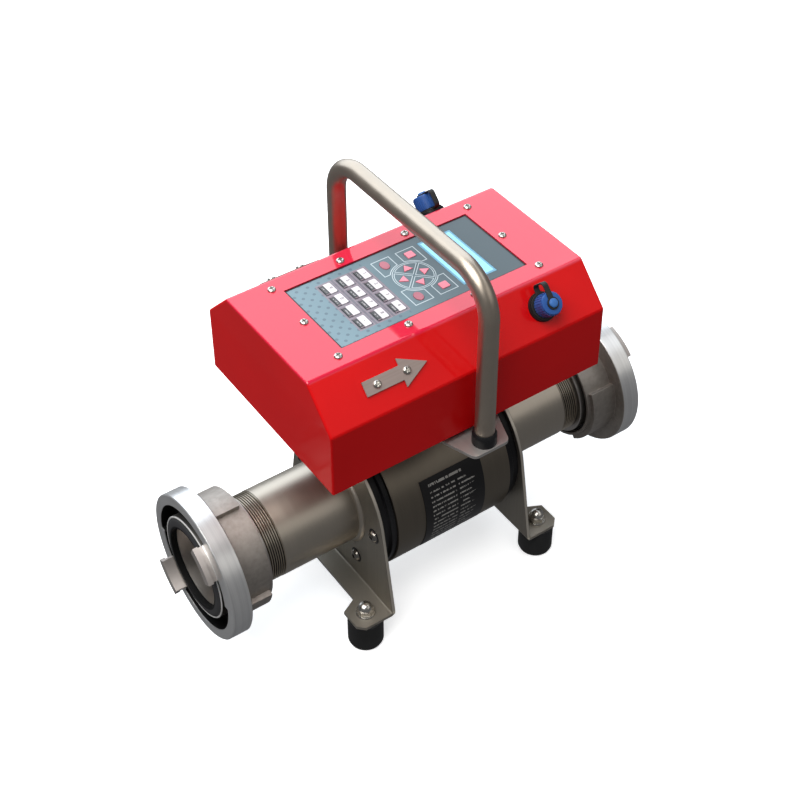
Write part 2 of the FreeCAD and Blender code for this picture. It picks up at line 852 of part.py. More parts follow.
def make_gaskets():
    lip_front = coupling_face + d.gasket_proud
    members = []
    for turn in (nothing, half_turn):
        body = turned("gasket", [
            (gasket_seat, d.gasket_id / 2), (gasket_seat, d.gasket_od / 2),
            (coupling_face, d.gasket_od / 2), (lip_front, d.gasket_lip_od / 2),
            (lip_front, d.gasket_id / 2),
        ], "X")
        members.append(at_end(body, turn))
    group("hose_gaskets", members)


def make_snap_rings():
    members = []
    for turn in (nothing, half_turn):
        body = turned("snap_ring", [
            (snap_back, snap_groove_r + d.fit_clearance), (snap_back, d.snap_ring_od / 2),
            (snap_front, d.snap_ring_od / 2), (snap_front, snap_groove_r + d.fit_clearance),
        ], "X")
        members.append(at_end(body, turn))
    group("snap_rings", members)


# Handle, its plate and the rubber spacers under the housing

def make_handle_plate():
    body = new_body("handle_plate")
    sketch = sketch_on(body, "XY_Plane")
    end = d.plate_end_width / 2
    mid = d.plate_mid_width / 2
    corner = [(end, d.plate_half_length), (mid, d.plate_half_length - d.plate_tip_length)]
    right = corner + [(x, -y) for x, y in reversed(corner)]
    outline(sketch, right + [(-x, y) for x, y in reversed(right)])
    circle(sketch, 0, 0, d.wire_hole_d / 2)
    for y in (-handle_y, handle_y):
        circle(sketch, 0, y, d.frame_screw_d / 2 + d.hole_clearance)
    for x in (-d.neck_bolt_x, d.neck_bolt_x):
        for y in (-d.neck_bolt_y, d.neck_bolt_y):
            circle(sketch, x, y, d.frame_screw_d / 2 + d.hole_clearance)
    pad(body, sketch, d.plate_sheet)
    soften(body, "Fillet", d.plate_corner_r, lambda e: runs_along(e, "z") and near(
        abs(e.CenterOfMass.y), d.plate_half_length))
    place(body, (d.sensor_offset, nothing, plate_bottom))
    keep(body, "handle_plate")


handle_top = d.handle_clear_height + d.handle_od / 2 + cover_top - plate_top


def make_handle():
    body = new_body("carry_handle")
    path = sketch_on(body, "YZ_Plane")
    handle_path(path)
    ring = sketch_on(body, "XY_Plane")
    circle(ring, 0, -handle_y, d.handle_od / 2)
    circle(ring, 0, -handle_y, d.handle_od / 2 - d.handle_wall)
    tube = body.newObject("PartDesign::AdditivePipe", "handle_tube")
    tube.Profile = ring
    tube.Spine = (path, ["Edge%d" % (i + 1) for i in range(5)])
    doc.recompute()
    plugs = sketch_on(body, "XY_Plane")
    for y in (-handle_y, handle_y):
        circle(plugs, 0, y, d.handle_od / 2 - d.handle_wall / 2)
    pad(body, plugs, d.handle_plug)
    taps = sketch_on(body, "XY_Plane")
    for y in (-handle_y, handle_y):
        circle(taps, 0, y, d.frame_screw_d / 2 + d.fit_clearance)
    pocket(body, taps, d.handle_plug - d.thread_engagement / 2, reverse=True)
    place(body, (d.sensor_offset, nothing, plate_top))
    keep(body, "carry_handle")


def handle_path(sketch):
    """Two legs and a bar, joined by two bends, from the front foot to the rear foot."""
    leg = handle_y.value
    top = handle_top.value
    bend = d.handle_bend_r.value
    low = top - bend
    run = leg - bend
    up = FreeCAD.Vector(0, 0, 1)
    front = sketch.addGeometry(Part.LineSegment(FreeCAD.Vector(-leg, 0, 0), FreeCAD.Vector(-leg, low, 0)))
    front_bend = sketch.addGeometry(Part.ArcOfCircle(
        Part.Circle(FreeCAD.Vector(-run, low, 0), up, bend), math.pi / 2, math.pi))
    bar = sketch.addGeometry(Part.LineSegment(FreeCAD.Vector(-run, top, 0), FreeCAD.Vector(run, top, 0)))
    rear_bend = sketch.addGeometry(Part.ArcOfCircle(
        Part.Circle(FreeCAD.Vector(run, low, 0), up, bend), 0, math.pi / 2))
    rear = sketch.addGeometry(Part.LineSegment(FreeCAD.Vector(leg, low, 0), FreeCAD.Vector(leg, 0, 0)))
    sketch.addConstraint(Sketcher.Constraint("Tangent", front, 2, front_bend, 2))
    sketch.addConstraint(Sketcher.Constraint("Tangent", front_bend, 1, bar, 1))
    sketch.addConstraint(Sketcher.Constraint("Tangent", bar, 2, rear_bend, 2))
    sketch.addConstraint(Sketcher.Constraint("Tangent", rear_bend, 1, rear, 1))
    sketch.addConstraint(Sketcher.Constraint("Vertical", front))
    sketch.addConstraint(Sketcher.Constraint("Vertical", rear))
    sketch.addConstraint(Sketcher.Constraint("Equal", front_bend, rear_bend))
    pin(sketch, front, 1, -handle_y, nothing)
    pin(sketch, rear, 2, handle_y, nothing)
    limit = sketch.addConstraint(Sketcher.Constraint("Radius", front_bend, bend))
    bind(sketch, "Constraints[%d]" % limit, d.handle_bend_r)
    rise = sketch.addConstraint(Sketcher.Constraint("DistanceY", -1, 1, bar, 1, top))
    bind(sketch, "Constraints[%d]" % rise, handle_top)


def make_ferrules():
    inner = d.handle_od / 2 + d.fit_clearance
    outer = d.ferrule_od / 2
    members = []
    for y in (-handle_y, handle_y):
        body = turned("ferrule", [
            (inner, nothing), (outer, nothing), (outer, d.ferrule_height * 0.8),
            (inner + d.hole_clearance, d.ferrule_height), (inner, d.ferrule_height),
        ], "Z")
        place(body, (d.sensor_offset, y, plate_top))
        members.append(body)
    group("handle_ferrules", members)


def make_spacers():
    members = []
    for x in (-d.spacer_x, d.spacer_x):
        for y in (-d.spacer_y, d.spacer_y):
            body = turned("spacer", [
                (nothing, nothing), (d.spacer_d / 2, nothing), (d.spacer_d / 2, d.spacer_height),
                (nothing, d.spacer_height),
            ], "Z")
            place(body, (d.sensor_offset + x, y, plate_top))
            members.append(body)
    group("housing_spacers", members)


# Electronics housing: bent cover, base, screws

def cover_screw_points():
    for x in (-d.cover_screw_x, -d.cover_screw_inner_x, d.cover_screw_inner_x, d.cover_screw_x):
        for y in (-d.cover_screw_y, d.cover_screw_y):
            yield x, y
    for x in (-d.cover_screw_x, d.cover_screw_x):
        yield x, nothing


def base_screw_points():
    y = box_width / 2 - d.box_sheet - d.return_flange / 2
    for x in (-d.cover_screw_x, nothing, d.cover_screw_x):
        for side in (-1, 1):
            yield x, side * y


def make_cover():
    body = new_body("housing_cover")
    half = box_width / 2
    top_half = d.top_width / 2
    side = [(half, cover_bottom), (half, slope_foot), (top_half, cover_top)]
    shape = sketch_on(body, "YZ_Plane")
    outline(shape, side + [(-y, z) for y, z in reversed(side)])
    pad(body, shape, d.box_length, symmetric=True)
    soften(body, "Fillet", d.bend_r, lambda e: not near(e.CenterOfMass.z, cover_bottom)
           and e.CenterOfMass.z > cover_bottom.value + 1)
    fold = d.box_sheet * slope_sine / (1 + slope_cosine)
    steep_fold = d.box_sheet * slope_cosine / (1 + slope_sine)
    inner = [(half - d.box_sheet, cover_bottom + d.box_sheet), (half - d.box_sheet, slope_foot - steep_fold),
             (top_half - fold, cover_top - d.box_sheet)]
    cavity = sketch_on(body, "YZ_Plane")
    outline(cavity, inner + [(-y, z) for y, z in reversed(inner)])
    pocket(body, cavity, d.box_length - d.box_sheet * 2, symmetric=True)
    mouth = sketch_on(body, "XY_Plane", cover_bottom)
    rim = d.box_sheet + d.return_flange
    centred(mouth, nothing, nothing, d.box_length - rim * 2, box_width - rim * 2)
    for x, y in base_screw_points():
        circle(mouth, x, y, d.small_screw_d / 2 + d.hole_clearance)
    pocket(body, mouth, d.box_sheet, reverse=True)
    window = sketch_on(body, "XY_Plane", cover_top)
    centred(window, nothing, nothing, d.window_length, d.window_width)
    for x, y in cover_screw_points():
        circle(window, x, y, d.small_screw_d / 2 + d.hole_clearance)
    pocket(body, window, d.box_sheet)
    for way in (-1, 1):
        holes = slope_sketch(body, way)
        circle(holes, d.connector_x, 0, d.connector_d / 2 + d.hole_clearance)
        for x in (d.arrow_screw_back, d.arrow_screw_front):
            circle(holes, d.arrow_x + x, 0, d.small_screw_d / 2 + d.hole_clearance)
        pocket(body, holes, d.box_sheet * 2)
    keep(body, "housing_cover")


def make_base():
    body = new_body("housing_base")
    sketch = sketch_on(body, "XY_Plane")
    centred(sketch, nothing, nothing, d.box_length - d.base_inset * 2, box_width - d.base_inset * 2)
    circle(sketch, d.sensor_offset, 0, d.wire_hole_d / 2)
    for x, y in base_screw_points():
        circle(sketch, x, y, d.small_screw_d / 2 + d.hole_clearance)
    pad(body, sketch, d.base_sheet)
    posts = sketch_on(body, "XY_Plane", d.base_sheet)
    for x, y in main_board_posts():
        circle(posts, x, y, d.board_post_d / 2)
    pad(body, posts, d.main_board_rise)
    place(body, (nothing, nothing, base_bottom))
    keep(body, "housing_base")


def main_board_posts():
    x = d.main_board_length / 2 - d.board_post_inset
    y = d.main_board_width / 2 - d.board_post_inset
    for i in (-1, 1):
        for j in (-1, 1):
            yield d.main_board_x + i * x, j * y


def slope_place(body, side, x):
    place(body, (x, side * slope_middle_y, slope_middle_z), (1, 0, 0), -side * slope_angle)
    return body


def small_screw(grip, at, axis=(0, 0, 1), angle=None):
    return screw("small_screw", d.small_head_d / 2, d.small_head, d.small_screw_d / 2, grip, at, axis, angle)


def make_cover_screws():
    members = [small_screw(d.small_grip, (x, y, cover_top)) for x, y in cover_screw_points()]
    for x, y in base_screw_points():
        members.append(small_screw(d.small_grip, (x, y, base_bottom), (1, 0, 0), half_turn))
    lift_y = d.arrow_sheet * slope_sine
    lift_z = d.arrow_sheet * slope_cosine
    for side in (-1, 1):
        for x in (d.arrow_screw_back, d.arrow_screw_front):
            at = (d.arrow_x + x, side * (slope_middle_y + lift_y), slope_middle_z + lift_z)
            members.append(small_screw(d.small_grip, at, (1, 0, 0), -side * slope_angle))
    group("cover_screws", members)


def make_arrows():
    members = []
    tail = -d.arrow_length / 2
    tip = d.arrow_length / 2
    neck = tip - d.arrow_head
    for side in (-1, 1):
        body = new_body("flow_arrow")
        sketch = sketch_on(body, "XY_Plane")
        shaft = d.arrow_shaft_width / 2
        upper = [(tail, shaft), (neck, shaft), (neck, d.arrow_head_width / 2)]
        outline(sketch, upper + [(tip, nothing)] + [(x, -y) for x, y in reversed(upper)])
        for x in (d.arrow_screw_back, d.arrow_screw_front):
            circle(sketch, x, 0, d.small_screw_d / 2 + d.hole_clearance)
        pad(body, sketch, d.arrow_sheet)
        members.append(slope_place(body, side, d.arrow_x))
    group("flow_arrows", members)


# Panel behind the window, overlay, display, boards and battery

def box(name, length, width, height, x, y, z):
    """A block given by its middle in x and y and its underside."""
    block = doc.addObject("Part::Box", name)
    for path, size in (("Length", length), ("Width", width), ("Height", height)):
        bind(block, path, size)
    place(block, (x - length / 2, y - width / 2, z))
    return block


def prism(name, base, height, at, turn=0):
    """A flat outline raised to a height."""
    solid = doc.addObject("Part::Extrusion", name)
    solid.Base = base
    solid.DirMode = "Custom"
    solid.Dir = FreeCAD.Vector(0, 0, 1)
    solid.Solid = True
    bind(solid, "LengthFwd", height)
    place(solid, at, (0, 0, 1), as_size(turn))
    return solid


def triangle(name, radius):
    shape = doc.addObject("Part::RegularPolygon", name)
    shape.Polygon = 3
    bind(shape, "Circumradius", radius)
    return shape


def oval(name, length, width):
    shape = doc.addObject("Part::Ellipse", name)
    bind(shape, "MajorRadius", width / 2)
    bind(shape, "MinorRadius", length / 2)
    return shape


number_keys = [
    ("key_1", 0, 0), ("key_2", 0, 1), ("key_3", 0, 2), ("key_4", 0, 3),
    ("key_5", 1, 0), ("key_6", 1, 1), ("key_7", 1, 2), ("key_8", 1, 3),
    ("key_9", 2, 0), ("key_0", 2, 1), ("key_point", 2, 2), ("key_sign", 2, 3),
]
arrow_keys = [("key_up", 0), ("key_left", 90), ("key_down", 180), ("key_right", 270)]
square_keys = [("key_menu", 1), ("key_enter", -1)]
oval_keys = [("key_start", 1), ("key_stop", -1)]


def number_key_place(row, column):
    return d.first_row_x - row * d.key_pitch, (1.5 - column) * d.key_pitch


def arrow_key_place(turn):
    angle = as_size(turn)
    return d.nav_x + d.arrow_ring_r * cosine(angle), d.arrow_ring_r * sine(angle)


def square_key_place(side):
    return d.nav_x + d.function_x, side * d.function_y


def oval_key_place(side):
    return d.nav_x - d.function_x, side * d.function_y


def key_openings():
    """One cutter for each key and one for the display, through the panel and the overlay."""
    gap = d.key_clearance
    low = panel_bottom - d.panel_sheet
    height = overlay_top - panel_bottom + d.panel_sheet * 2
    cutters = []
    for label, row, column in number_keys:
        x, y = number_key_place(row, column)
        cutters.append(box("opening", d.key_length + gap * 2, d.key_width + gap * 2, height, x, y, low))
    for label, side in square_keys:
        x, y = square_key_place(side)
        cutters.append(box("opening", d.function_key + gap * 2, d.function_key + gap * 2, height, x, y, low))
    for label, turn in arrow_keys:
        x, y = arrow_key_place(turn)
        corner = triangle("corner", d.arrow_key_r + gap * 2)
        cutters.append(prism("opening", corner, height, (x, y, low), turn))
    for label, side in oval_keys:
        x, y = oval_key_place(side)
        shape = oval("rim", d.oval_key_length + gap * 2, d.oval_key_width + gap * 2)
        cutters.append(prism("opening", shape, height, (x, y, low), 90))
    cutters.append(box("opening", d.display_length + gap * 2, d.display_width + gap * 2, height,
                       d.display_x, nothing, low))
    return cutters


def cut(name, block, cutters):
    tool = doc.addObject("Part::Compound", name + "_openings")
    tool.Links = cutters
    result = doc.addObject("Part::Cut", name)
    result.Base = block
    result.Tool = tool
    return result


def cylinder(name, radius, height, x, y, z):
    solid = doc.addObject("Part::Cylinder", name)
    bind(solid, "Radius", radius)
    bind(solid, "Height", height)
    place(solid, (x, y, z))
    return solid


def make_panel(cutters):
    plate = box("panel_blank", d.panel_length, d.panel_width, d.panel_sheet, nothing, nothing, panel_bottom)
    screw_holes = [cylinder("screw_hole", d.small_screw_d / 2 + d.fit_clearance, d.panel_sheet * 3, x, y,
                            panel_bottom - d.panel_sheet) for x, y in cover_screw_points()]
    bored = cut("panel_bored", plate, cutters + screw_holes)
    post_x = d.board_length / 2 - d.board_post_inset
    post_y = d.board_width / 2 - d.board_post_inset
    posts = [cylinder("panel_post", d.board_post_d / 2, panel_bottom - board_top + d.panel_sheet / 2,
                      i * post_x, j * post_y, board_top) for i in (-1, 1) for j in (-1, 1)]
    panel = doc.addObject("Part::MultiFuse", "front_panel")
    panel.Shapes = [bored] + posts
    keep(panel, "front_panel")


def make_overlay(cutters):
    length = d.window_length - d.hole_clearance * 2
    width = d.window_width - d.hole_clearance * 2
    film = box("overlay_blank", length, width, d.overlay_sheet, nothing, nothing, panel_top)
    keep(cut("panel_overlay", film, cutters), "panel_overlay")


def make_display():
    display = box("display_module", d.display_length, d.display_width, overlay_top - board_top,
                  d.display_x, nothing, board_top)
    keep(display, "display_module")


def make_boards():
    keypad = box("keypad_board", d.board_length, d.board_width, d.board_sheet, nothing, nothing,
                 board_top - d.board_sheet)
    keep(keypad, "keypad_board")
    main = box("main_board", d.main_board_length, d.main_board_width, d.board_sheet, d.main_board_x, nothing,
               cover_bottom + d.main_board_rise)
    keep(main, "main_board")


def make_battery():
    body = new_body("battery_pack")
    sketch = sketch_on(body, "XY_Plane")
    centred(sketch, nothing, nothing, d.battery_length, d.battery_width)
    pad(body, sketch, d.battery_height)
    soften(body, "Fillet", d.battery_edge, lambda e: runs_along(e, "z"))
    place(body, (d.battery_x, nothing, cover_bottom))
    keep(body, "battery_pack")


# Keys: a cap through the panel, held by a wider flange under it

key_cap_top = overlay_top + d.key_proud
key_flange_top = panel_bottom - d.hole_clearance / 2
key_flange_bottom = key_flange_top - d.key_flange


def make_block_key(label, length, width, x, y):
    body = new_body(label)
    cap = sketch_on(body, "XY_Plane", key_flange_bottom)
    centred(cap, nothing, nothing, length, width)
    pad(body, cap, key_cap_top - key_flange_bottom)
    soften(body, "Fillet", d.key_corner_r, lambda e: runs_along(e, "z"))
    flange = sketch_on(body, "XY_Plane", key_flange_bottom)
    edge = d.key_flange
    centred(flange, nothing, nothing, length + edge * 2, width + edge * 2)
    pad(body, flange, d.key_flange)
    place(body, (x, y, nothing))
    keep(body, label)


def make_shaped_key(label, cap, flange, at, turn):
    x, y = at
    low = (x, y, key_flange_bottom)
    key = doc.addObject("Part::Fuse", label)
    key.Base = prism(label + "_cap", cap, key_cap_top - key_flange_bottom, low, turn)
    key.Tool = prism(label + "_flange", flange, d.key_flange, low, turn)
    keep(key, label)


def make_keys():
    for label, row, column in number_keys:
        make_block_key(label, d.key_length, d.key_width, *number_key_place(row, column))
    for label, side in square_keys:
        make_block_key(label, d.function_key, d.function_key, *square_key_place(side))
    for label, turn in arrow_keys:
        cap = triangle(label + "_outline", d.arrow_key_r)
        flange = triangle(label + "_rim", d.arrow_key_r + d.key_flange * 2)
        make_shaped_key(label, cap, flange, arrow_key_place(turn), turn)
    for label, side in oval_keys:
        cap = oval(label + "_outline", d.oval_key_length, d.oval_key_width)
        edge = d.key_flange * 2
        flange = oval(label + "_rim", d.oval_key_length + edge, d.oval_key_width + edge)
        make_shaped_key(label, cap, flange, oval_key_place(side), 90)


# Connectors on the slopes, their nuts, screw caps and straps

strap_low = d.connector_flange + d.fit_clearance
strap_high = d.cap_top + d.fit_clearance
stem_top = strap_high + d.strap_sheet + d.fit_clearance


def make_connector(label, side):
    barrel_r = d.connector_d / 2
    flange_r = d.connector_flange_d / 2
    body = turned(label, [
        (nothing, -d.connector_depth), (barrel_r, -d.connector_depth), (barrel_r, nothing),
        (flange_r, nothing), (flange_r, d.connector_flange), (barrel_r, d.connector_flange),
        (barrel_r, d.connector_height), (barrel_r * 0.75, d.connector_height),
        (barrel_r * 0.75, d.connector_height - d.connector_recess),
        (nothing, d.connector_height - d.connector_recess),
    ], "Z")
    keep(slope_place(body, side, d.connector_x), label)


def make_connector_nuts():
    members = []
    for side in (-1, 1):
        body = new_body("connector_nut")
        sketch = sketch_on(body, "XY_Plane", -(d.box_sheet + d.fit_clearance))
        hexagon(sketch, d.connector_nut_across)
        circle(sketch, 0, 0, d.connector_d / 2 + d.fit_clearance)
        pad(body, sketch, d.connector_nut, reverse=True)
        members.append(slope_place(body, side, d.connector_x))
    group("connector_nuts", members)


def make_cap(label, side):
    inner = d.connector_d / 2 + d.cap_clearance
    outer = d.cap_od / 2
    roof = d.connector_height + d.cap_clearance
    stem_r = d.button_stem_d / 2
    button_r = d.button_d / 2
    body = turned(label, [
        (inner, d.cap_foot), (outer, d.cap_foot), (outer, d.cap_top - d.cap_crown / 2),
        (outer - d.cap_crown / 2, d.cap_top), (stem_r, d.cap_top), (stem_r, stem_top), (button_r, stem_top),
        (button_r * 0.8, stem_top + d.button_height), (nothing, stem_top + d.button_height),
        (nothing, roof), (inner, roof),
    ], "Z")
    keep(slope_place(body, side, d.connector_x), label)


def make_strap(label, side):
    """A flat strap in the plane across the slope, up the slope and over the cap to its button."""
    body = new_body(label)
    way = as_size(-side)
    thick = d.strap_sheet
    reach = d.strap_reach
    start = d.strap_ring_d / 2 - d.strap_sheet
    finish = d.strap_eye_d / 2 - d.strap_sheet
    profile = sketch_on(body, "YZ_Plane")
    outline(profile, [
        (way * start, strap_low), (way * reach, strap_low), (way * reach, strap_high + thick),
        (way * finish, strap_high + thick), (way * finish, strap_high), (way * (reach - thick), strap_high),
        (way * (reach - thick), strap_low + thick), (way * start, strap_low + thick),
    ])
    pad(body, profile, d.strap_width, symmetric=True)
    outer_y = abs(reach.value)
    soften(body, "Fillet", d.strap_bend_r, lambda e: runs_along(e, "x") and near(
        abs(e.CenterOfMass.y), as_size(outer_y)))
    soften(body, "Fillet", d.strap_bend_r - thick, lambda e: runs_along(e, "x") and near(
        abs(e.CenterOfMass.y), as_size(outer_y) - thick))
    for level, eye, hole in ((strap_low, d.strap_ring_d / 2, d.connector_d / 2 + d.cap_clearance),
                             (strap_high, d.strap_eye_d / 2, d.button_stem_d / 2 + d.cap_clearance)):
        ring = sketch_on(body, "XY_Plane", level)
        circle(ring, 0, 0, eye)
        circle(ring, 0, 0, hole)
        pad(body, ring, thick)
    keep(slope_place(body, side, d.connector_x), label)


make_tube()
make_liner()
make_electrodes()
make_coils()
make_drum()
make_neck()
make_end_rings()
make_nameplate()
make_bracket("inlet_bracket", half_turn)
make_bracket("outlet_bracket", nothing)
make_frame_screws()
make_feet()
make_foot_nuts()
for end, way, lug_angle in (("inlet", half_turn, d.lug_turn_inlet), ("outlet", nothing, d.lug_turn_outlet)):
    make_tail(end + "_tail", way)
    make_lug_ring(end + "_lug_ring", way, lug_angle)
make_gaskets()
make_snap_rings()
make_handle_plate()
make_handle()
make_ferrules()
make_spacers()
make_cover()
make_base()
make_cover_screws()
make_arrows()
openings = key_openings()
make_panel(openings)
make_overlay(openings)
make_display()
make_boards()
make_battery()
make_keys()
make_connector_nuts()
for end, way in (("front", -1), ("rear", 1)):
    make_connector(end + "_connector", way)
    make_cap(end + "_cap", way)
    make_strap(end + "_strap", way)

doc.recompute()
for thing in doc.Objects:
    if "Invalid" in thing.State or "Error" in thing.State:
        raise ValueError("%s did not build: %s" % (thing.Label, thing.State))
for thing in sub_parts:
    if thing.Shape.isNull() or not thing.Shape.isValid():
        raise ValueError("%s has no valid shape" % thing.Label)

os.makedirs("parts", exist_ok=True)
for thing in sub_parts:
    thing.Shape.exportStep("parts/%s.step" % thing.Label)
    solids = len(thing.Shape.Solids)
    print("%-20s %2d solids %12.1f mm3" % (thing.Label, solids, thing.Shape.Volume))
print(len(sub_parts), "sub-parts")
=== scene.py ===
import math

import bmesh
import bpy
from mathutils import Matrix, Vector


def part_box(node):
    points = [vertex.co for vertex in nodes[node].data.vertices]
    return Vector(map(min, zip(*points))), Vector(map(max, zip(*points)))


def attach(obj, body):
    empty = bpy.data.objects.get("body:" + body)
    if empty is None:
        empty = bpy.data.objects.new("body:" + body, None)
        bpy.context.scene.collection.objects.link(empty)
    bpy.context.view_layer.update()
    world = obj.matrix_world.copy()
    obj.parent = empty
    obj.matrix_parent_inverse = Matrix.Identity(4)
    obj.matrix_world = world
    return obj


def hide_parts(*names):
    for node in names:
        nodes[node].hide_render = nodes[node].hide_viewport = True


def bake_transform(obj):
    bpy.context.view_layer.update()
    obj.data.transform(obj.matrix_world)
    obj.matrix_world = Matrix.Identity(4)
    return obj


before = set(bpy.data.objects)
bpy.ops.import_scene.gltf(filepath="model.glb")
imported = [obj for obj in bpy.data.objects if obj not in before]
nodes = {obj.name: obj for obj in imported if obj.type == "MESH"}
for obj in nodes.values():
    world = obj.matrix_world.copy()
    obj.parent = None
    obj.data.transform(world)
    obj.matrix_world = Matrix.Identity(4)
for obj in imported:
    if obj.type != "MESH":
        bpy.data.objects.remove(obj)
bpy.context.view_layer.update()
scene = bpy.context.scene
mm = 0.001
perMetre = 1000.0
fullTurn = math.tau
axisHeight = 104.0  # of the pipe above the floor
sensorOffset = 2.0  # of the drum along the pipe
slopeMiddle = (73.525, 289.7)  # of the cover's sloped sides, across and up
slopeAngle = math.atan2(32.0, 31.15)
print("frame loaded:", len(nodes), "nodes")


# shader maths as plain sums

class Wire:
    def __init__(self, finish, socket):
        self.finish = finish
        self.socket = socket

    def maths(self, operation, *values):
        return self.finish.node("ShaderNodeMath", {"operation": operation}, dict(enumerate(values)))

    def __add__(self, other):
        return self.maths("ADD", self, other)

    def __radd__(self, other):
        return self.maths("ADD", other, self)

    def __sub__(self, other):
        return self.maths("SUBTRACT", self, other)

    def __rsub__(self, other):
        return self.maths("SUBTRACT", other, self)

    def __mul__(self, other):
        return self.maths("MULTIPLY", self, other)

    def __rmul__(self, other):
        return self.maths("MULTIPLY", other, self)

    def __pow__(self, other):
        return self.maths("POWER", self, other)

    def __mod__(self, other):
        return self.maths("FLOORED_MODULO", self, other)

    def __abs__(self):
        return self.maths("ABSOLUTE", self)

    def most(self, other):
        return self.maths("MAXIMUM", self, other)

    def rise(self, low, high):  # 0 at low, 1 at high, smooth between, either way round
        sockets = {"Value": self, "From Min": low, "From Max": high}
        return self.finish.node("ShaderNodeMapRange", {"interpolation_type": "SMOOTHSTEP"}, sockets)


class Finish:
    def __init__(self, name, settings):
        self.material = bpy.data.materials.new(name)
        self.material.use_nodes = True
        self.tree = self.material.node_tree
        self.shader = self.tree.nodes["Principled BSDF"]
        self.feed(self.shader, settings)
        self.place = self.node("ShaderNodeTexCoord", {}, {}, "Object")

    def node(self, kind, settings, sockets, output=0):
        made = self.tree.nodes.new(kind)
        for key, value in settings.items():
            setattr(made, key, value)
        self.feed(made, sockets)
        return Wire(self, made.outputs[output])

    def feed(self, made, sockets):
        for key, value in sockets.items():
            if isinstance(value, Wire):
                self.tree.links.new(value.socket, made.inputs[key])
            else:
                made.inputs[key].default_value = value

    def set(self, sockets):
        self.feed(self.shader, sockets)
        return self

    def axes(self):
        split = self.node("ShaderNodeSeparateXYZ", {}, {0: self.place}).socket.node
        return [Wire(self, out) for out in split.outputs]

    def flatMm(self):  # x and y in millimetres
        return [axis * perMetre for axis in self.axes()[:2]]

    def fromAxis(self):  # distance from the pipe's axis
        place = self.axes()
        across, up = place[1], place[2] - axisHeight * mm
        return (across * across + up * up) ** 0.5

    def grain(self, scale, stretch=(1, 1, 1), detail=3.0):
        spot = self.node("ShaderNodeMapping", {}, {"Vector": self.place, "Scale": stretch})
        sockets = {"Vector": spot, "Scale": scale, "Detail": detail}
        return self.node("ShaderNodeTexNoise", {}, sockets)

    def mixed(self, amount, *colours):
        first, second = [c if isinstance(c, Wire) else tone(*c) for c in colours]
        sockets = {0: amount, 6: first, 7: second}
        return self.node("ShaderNodeMix", {"data_type": "RGBA"}, sockets, 2)

    def bumped(self, height, distance):
        sockets = {"Height": height, "Distance": distance}
        return self.set({"Normal": self.node("ShaderNodeBump", {}, sockets)})


def tone(red, green, blue):
    return (red, green, blue, 1.0)


# metals and plastics; grain is given as its fineness along x, y and z

aroundX = (420.0, 2.0, 2.0)
alongX = (3.0, 500.0, 500.0)
alongY = (500.0, 3.0, 500.0)
alongZ = (480.0, 480.0, 4.0)
evenly = (300.0, 300.0, 300.0)
satin = (90.0, 90.0, 90.0)
windings = (4.0, 4.0, 900.0)


def brushGrain(metal, stretch):
    # the streaks, the share of the lighter tone and the spread of the roughness
    streaks = metal.grain(1.0, stretch, 4.0)
    clouds = metal.grain(22.0)
    lighter = (streaks * 0.6 + clouds * 0.5).rise(0.3, 0.75)
    return streaks, lighter, streaks * 0.12 + clouds * 0.06


def brushedMetal(name, colour, rough, stretch, depth=0.00002, dark=0.82, metallic=1.0):
    steel = Finish(name, {"Metallic": metallic})
    streaks, lighter, spread = brushGrain(steel, stretch)
    shade = tuple(c * dark for c in colour)
    steel.set({"Base Color": steel.mixed(lighter, shade, colour),
               "Roughness": rough - 0.09 + spread})
    return steel.bumped(streaks, depth)


def mouldedPlastic(name, colour, rough, grit=1400.0, depth=0.00003, shine=0.3):
    plastic = Finish(name, {"Specular IOR Level": shine})
    fine = plastic.grain(grit)
    clouds = plastic.grain(30.0)
    worn = tuple(min(1.0, c * 1.25 + 0.006) for c in colour)
    plastic.set({"Base Color": plastic.mixed(clouds.rise(0.35, 0.7), colour, worn),
                 "Roughness": rough - 0.06 + clouds * 0.12})
    return plastic.bumped(fine, depth)


# finishes that change over a piece; their bands are in metres, those of prints in millimetres

coatForm = {"slope": (0.272, 0.276), "top": (0.3035, 0.3050), "gloss": (0.12, 0.06, 0.82)}


def redCoat(form):
    # glossy on top, duller down the sides; the top is painted a bluer red, a painted reflection of
    # the sky
    paint = Finish("redCoat", {"Coat Roughness": 0.04, "Coat IOR": 1.6, "Specular IOR Level": 0.08})
    clouds = paint.grain(9.0)
    peel = paint.grain(420.0, detail=1.0)
    height = paint.axes()[2]
    slope, top = height.rise(*form["slope"]), height.rise(*form["top"])
    sides, onSlope, onTop = form["gloss"]
    red = paint.mixed(clouds.rise(0.3, 0.7), (0.53, 0.002, 0.003), (0.59, 0.003, 0.004))
    # the bluer red on the top face is a painted reflection of the sky
    paint.set({"Base Color": paint.mixed(top, red, (0.56, 0.008, 0.036)),
               "Roughness": 0.38 + clouds * 0.08,
               "Coat Weight": sides + slope * onSlope + top * onTop})
    return paint.bumped(peel, 0.000006)


ringForm = {"rimBack": (0.1905, 0.1910), "rimRadius": (0.0494, 0.0498), "lugs": (0.2078, 0.2082),
            "grooveBack": (0.1920, 0.1924), "grooveFront": (0.2072, 0.2068),
            "grooveRadius": (0.0547, 0.0545)}


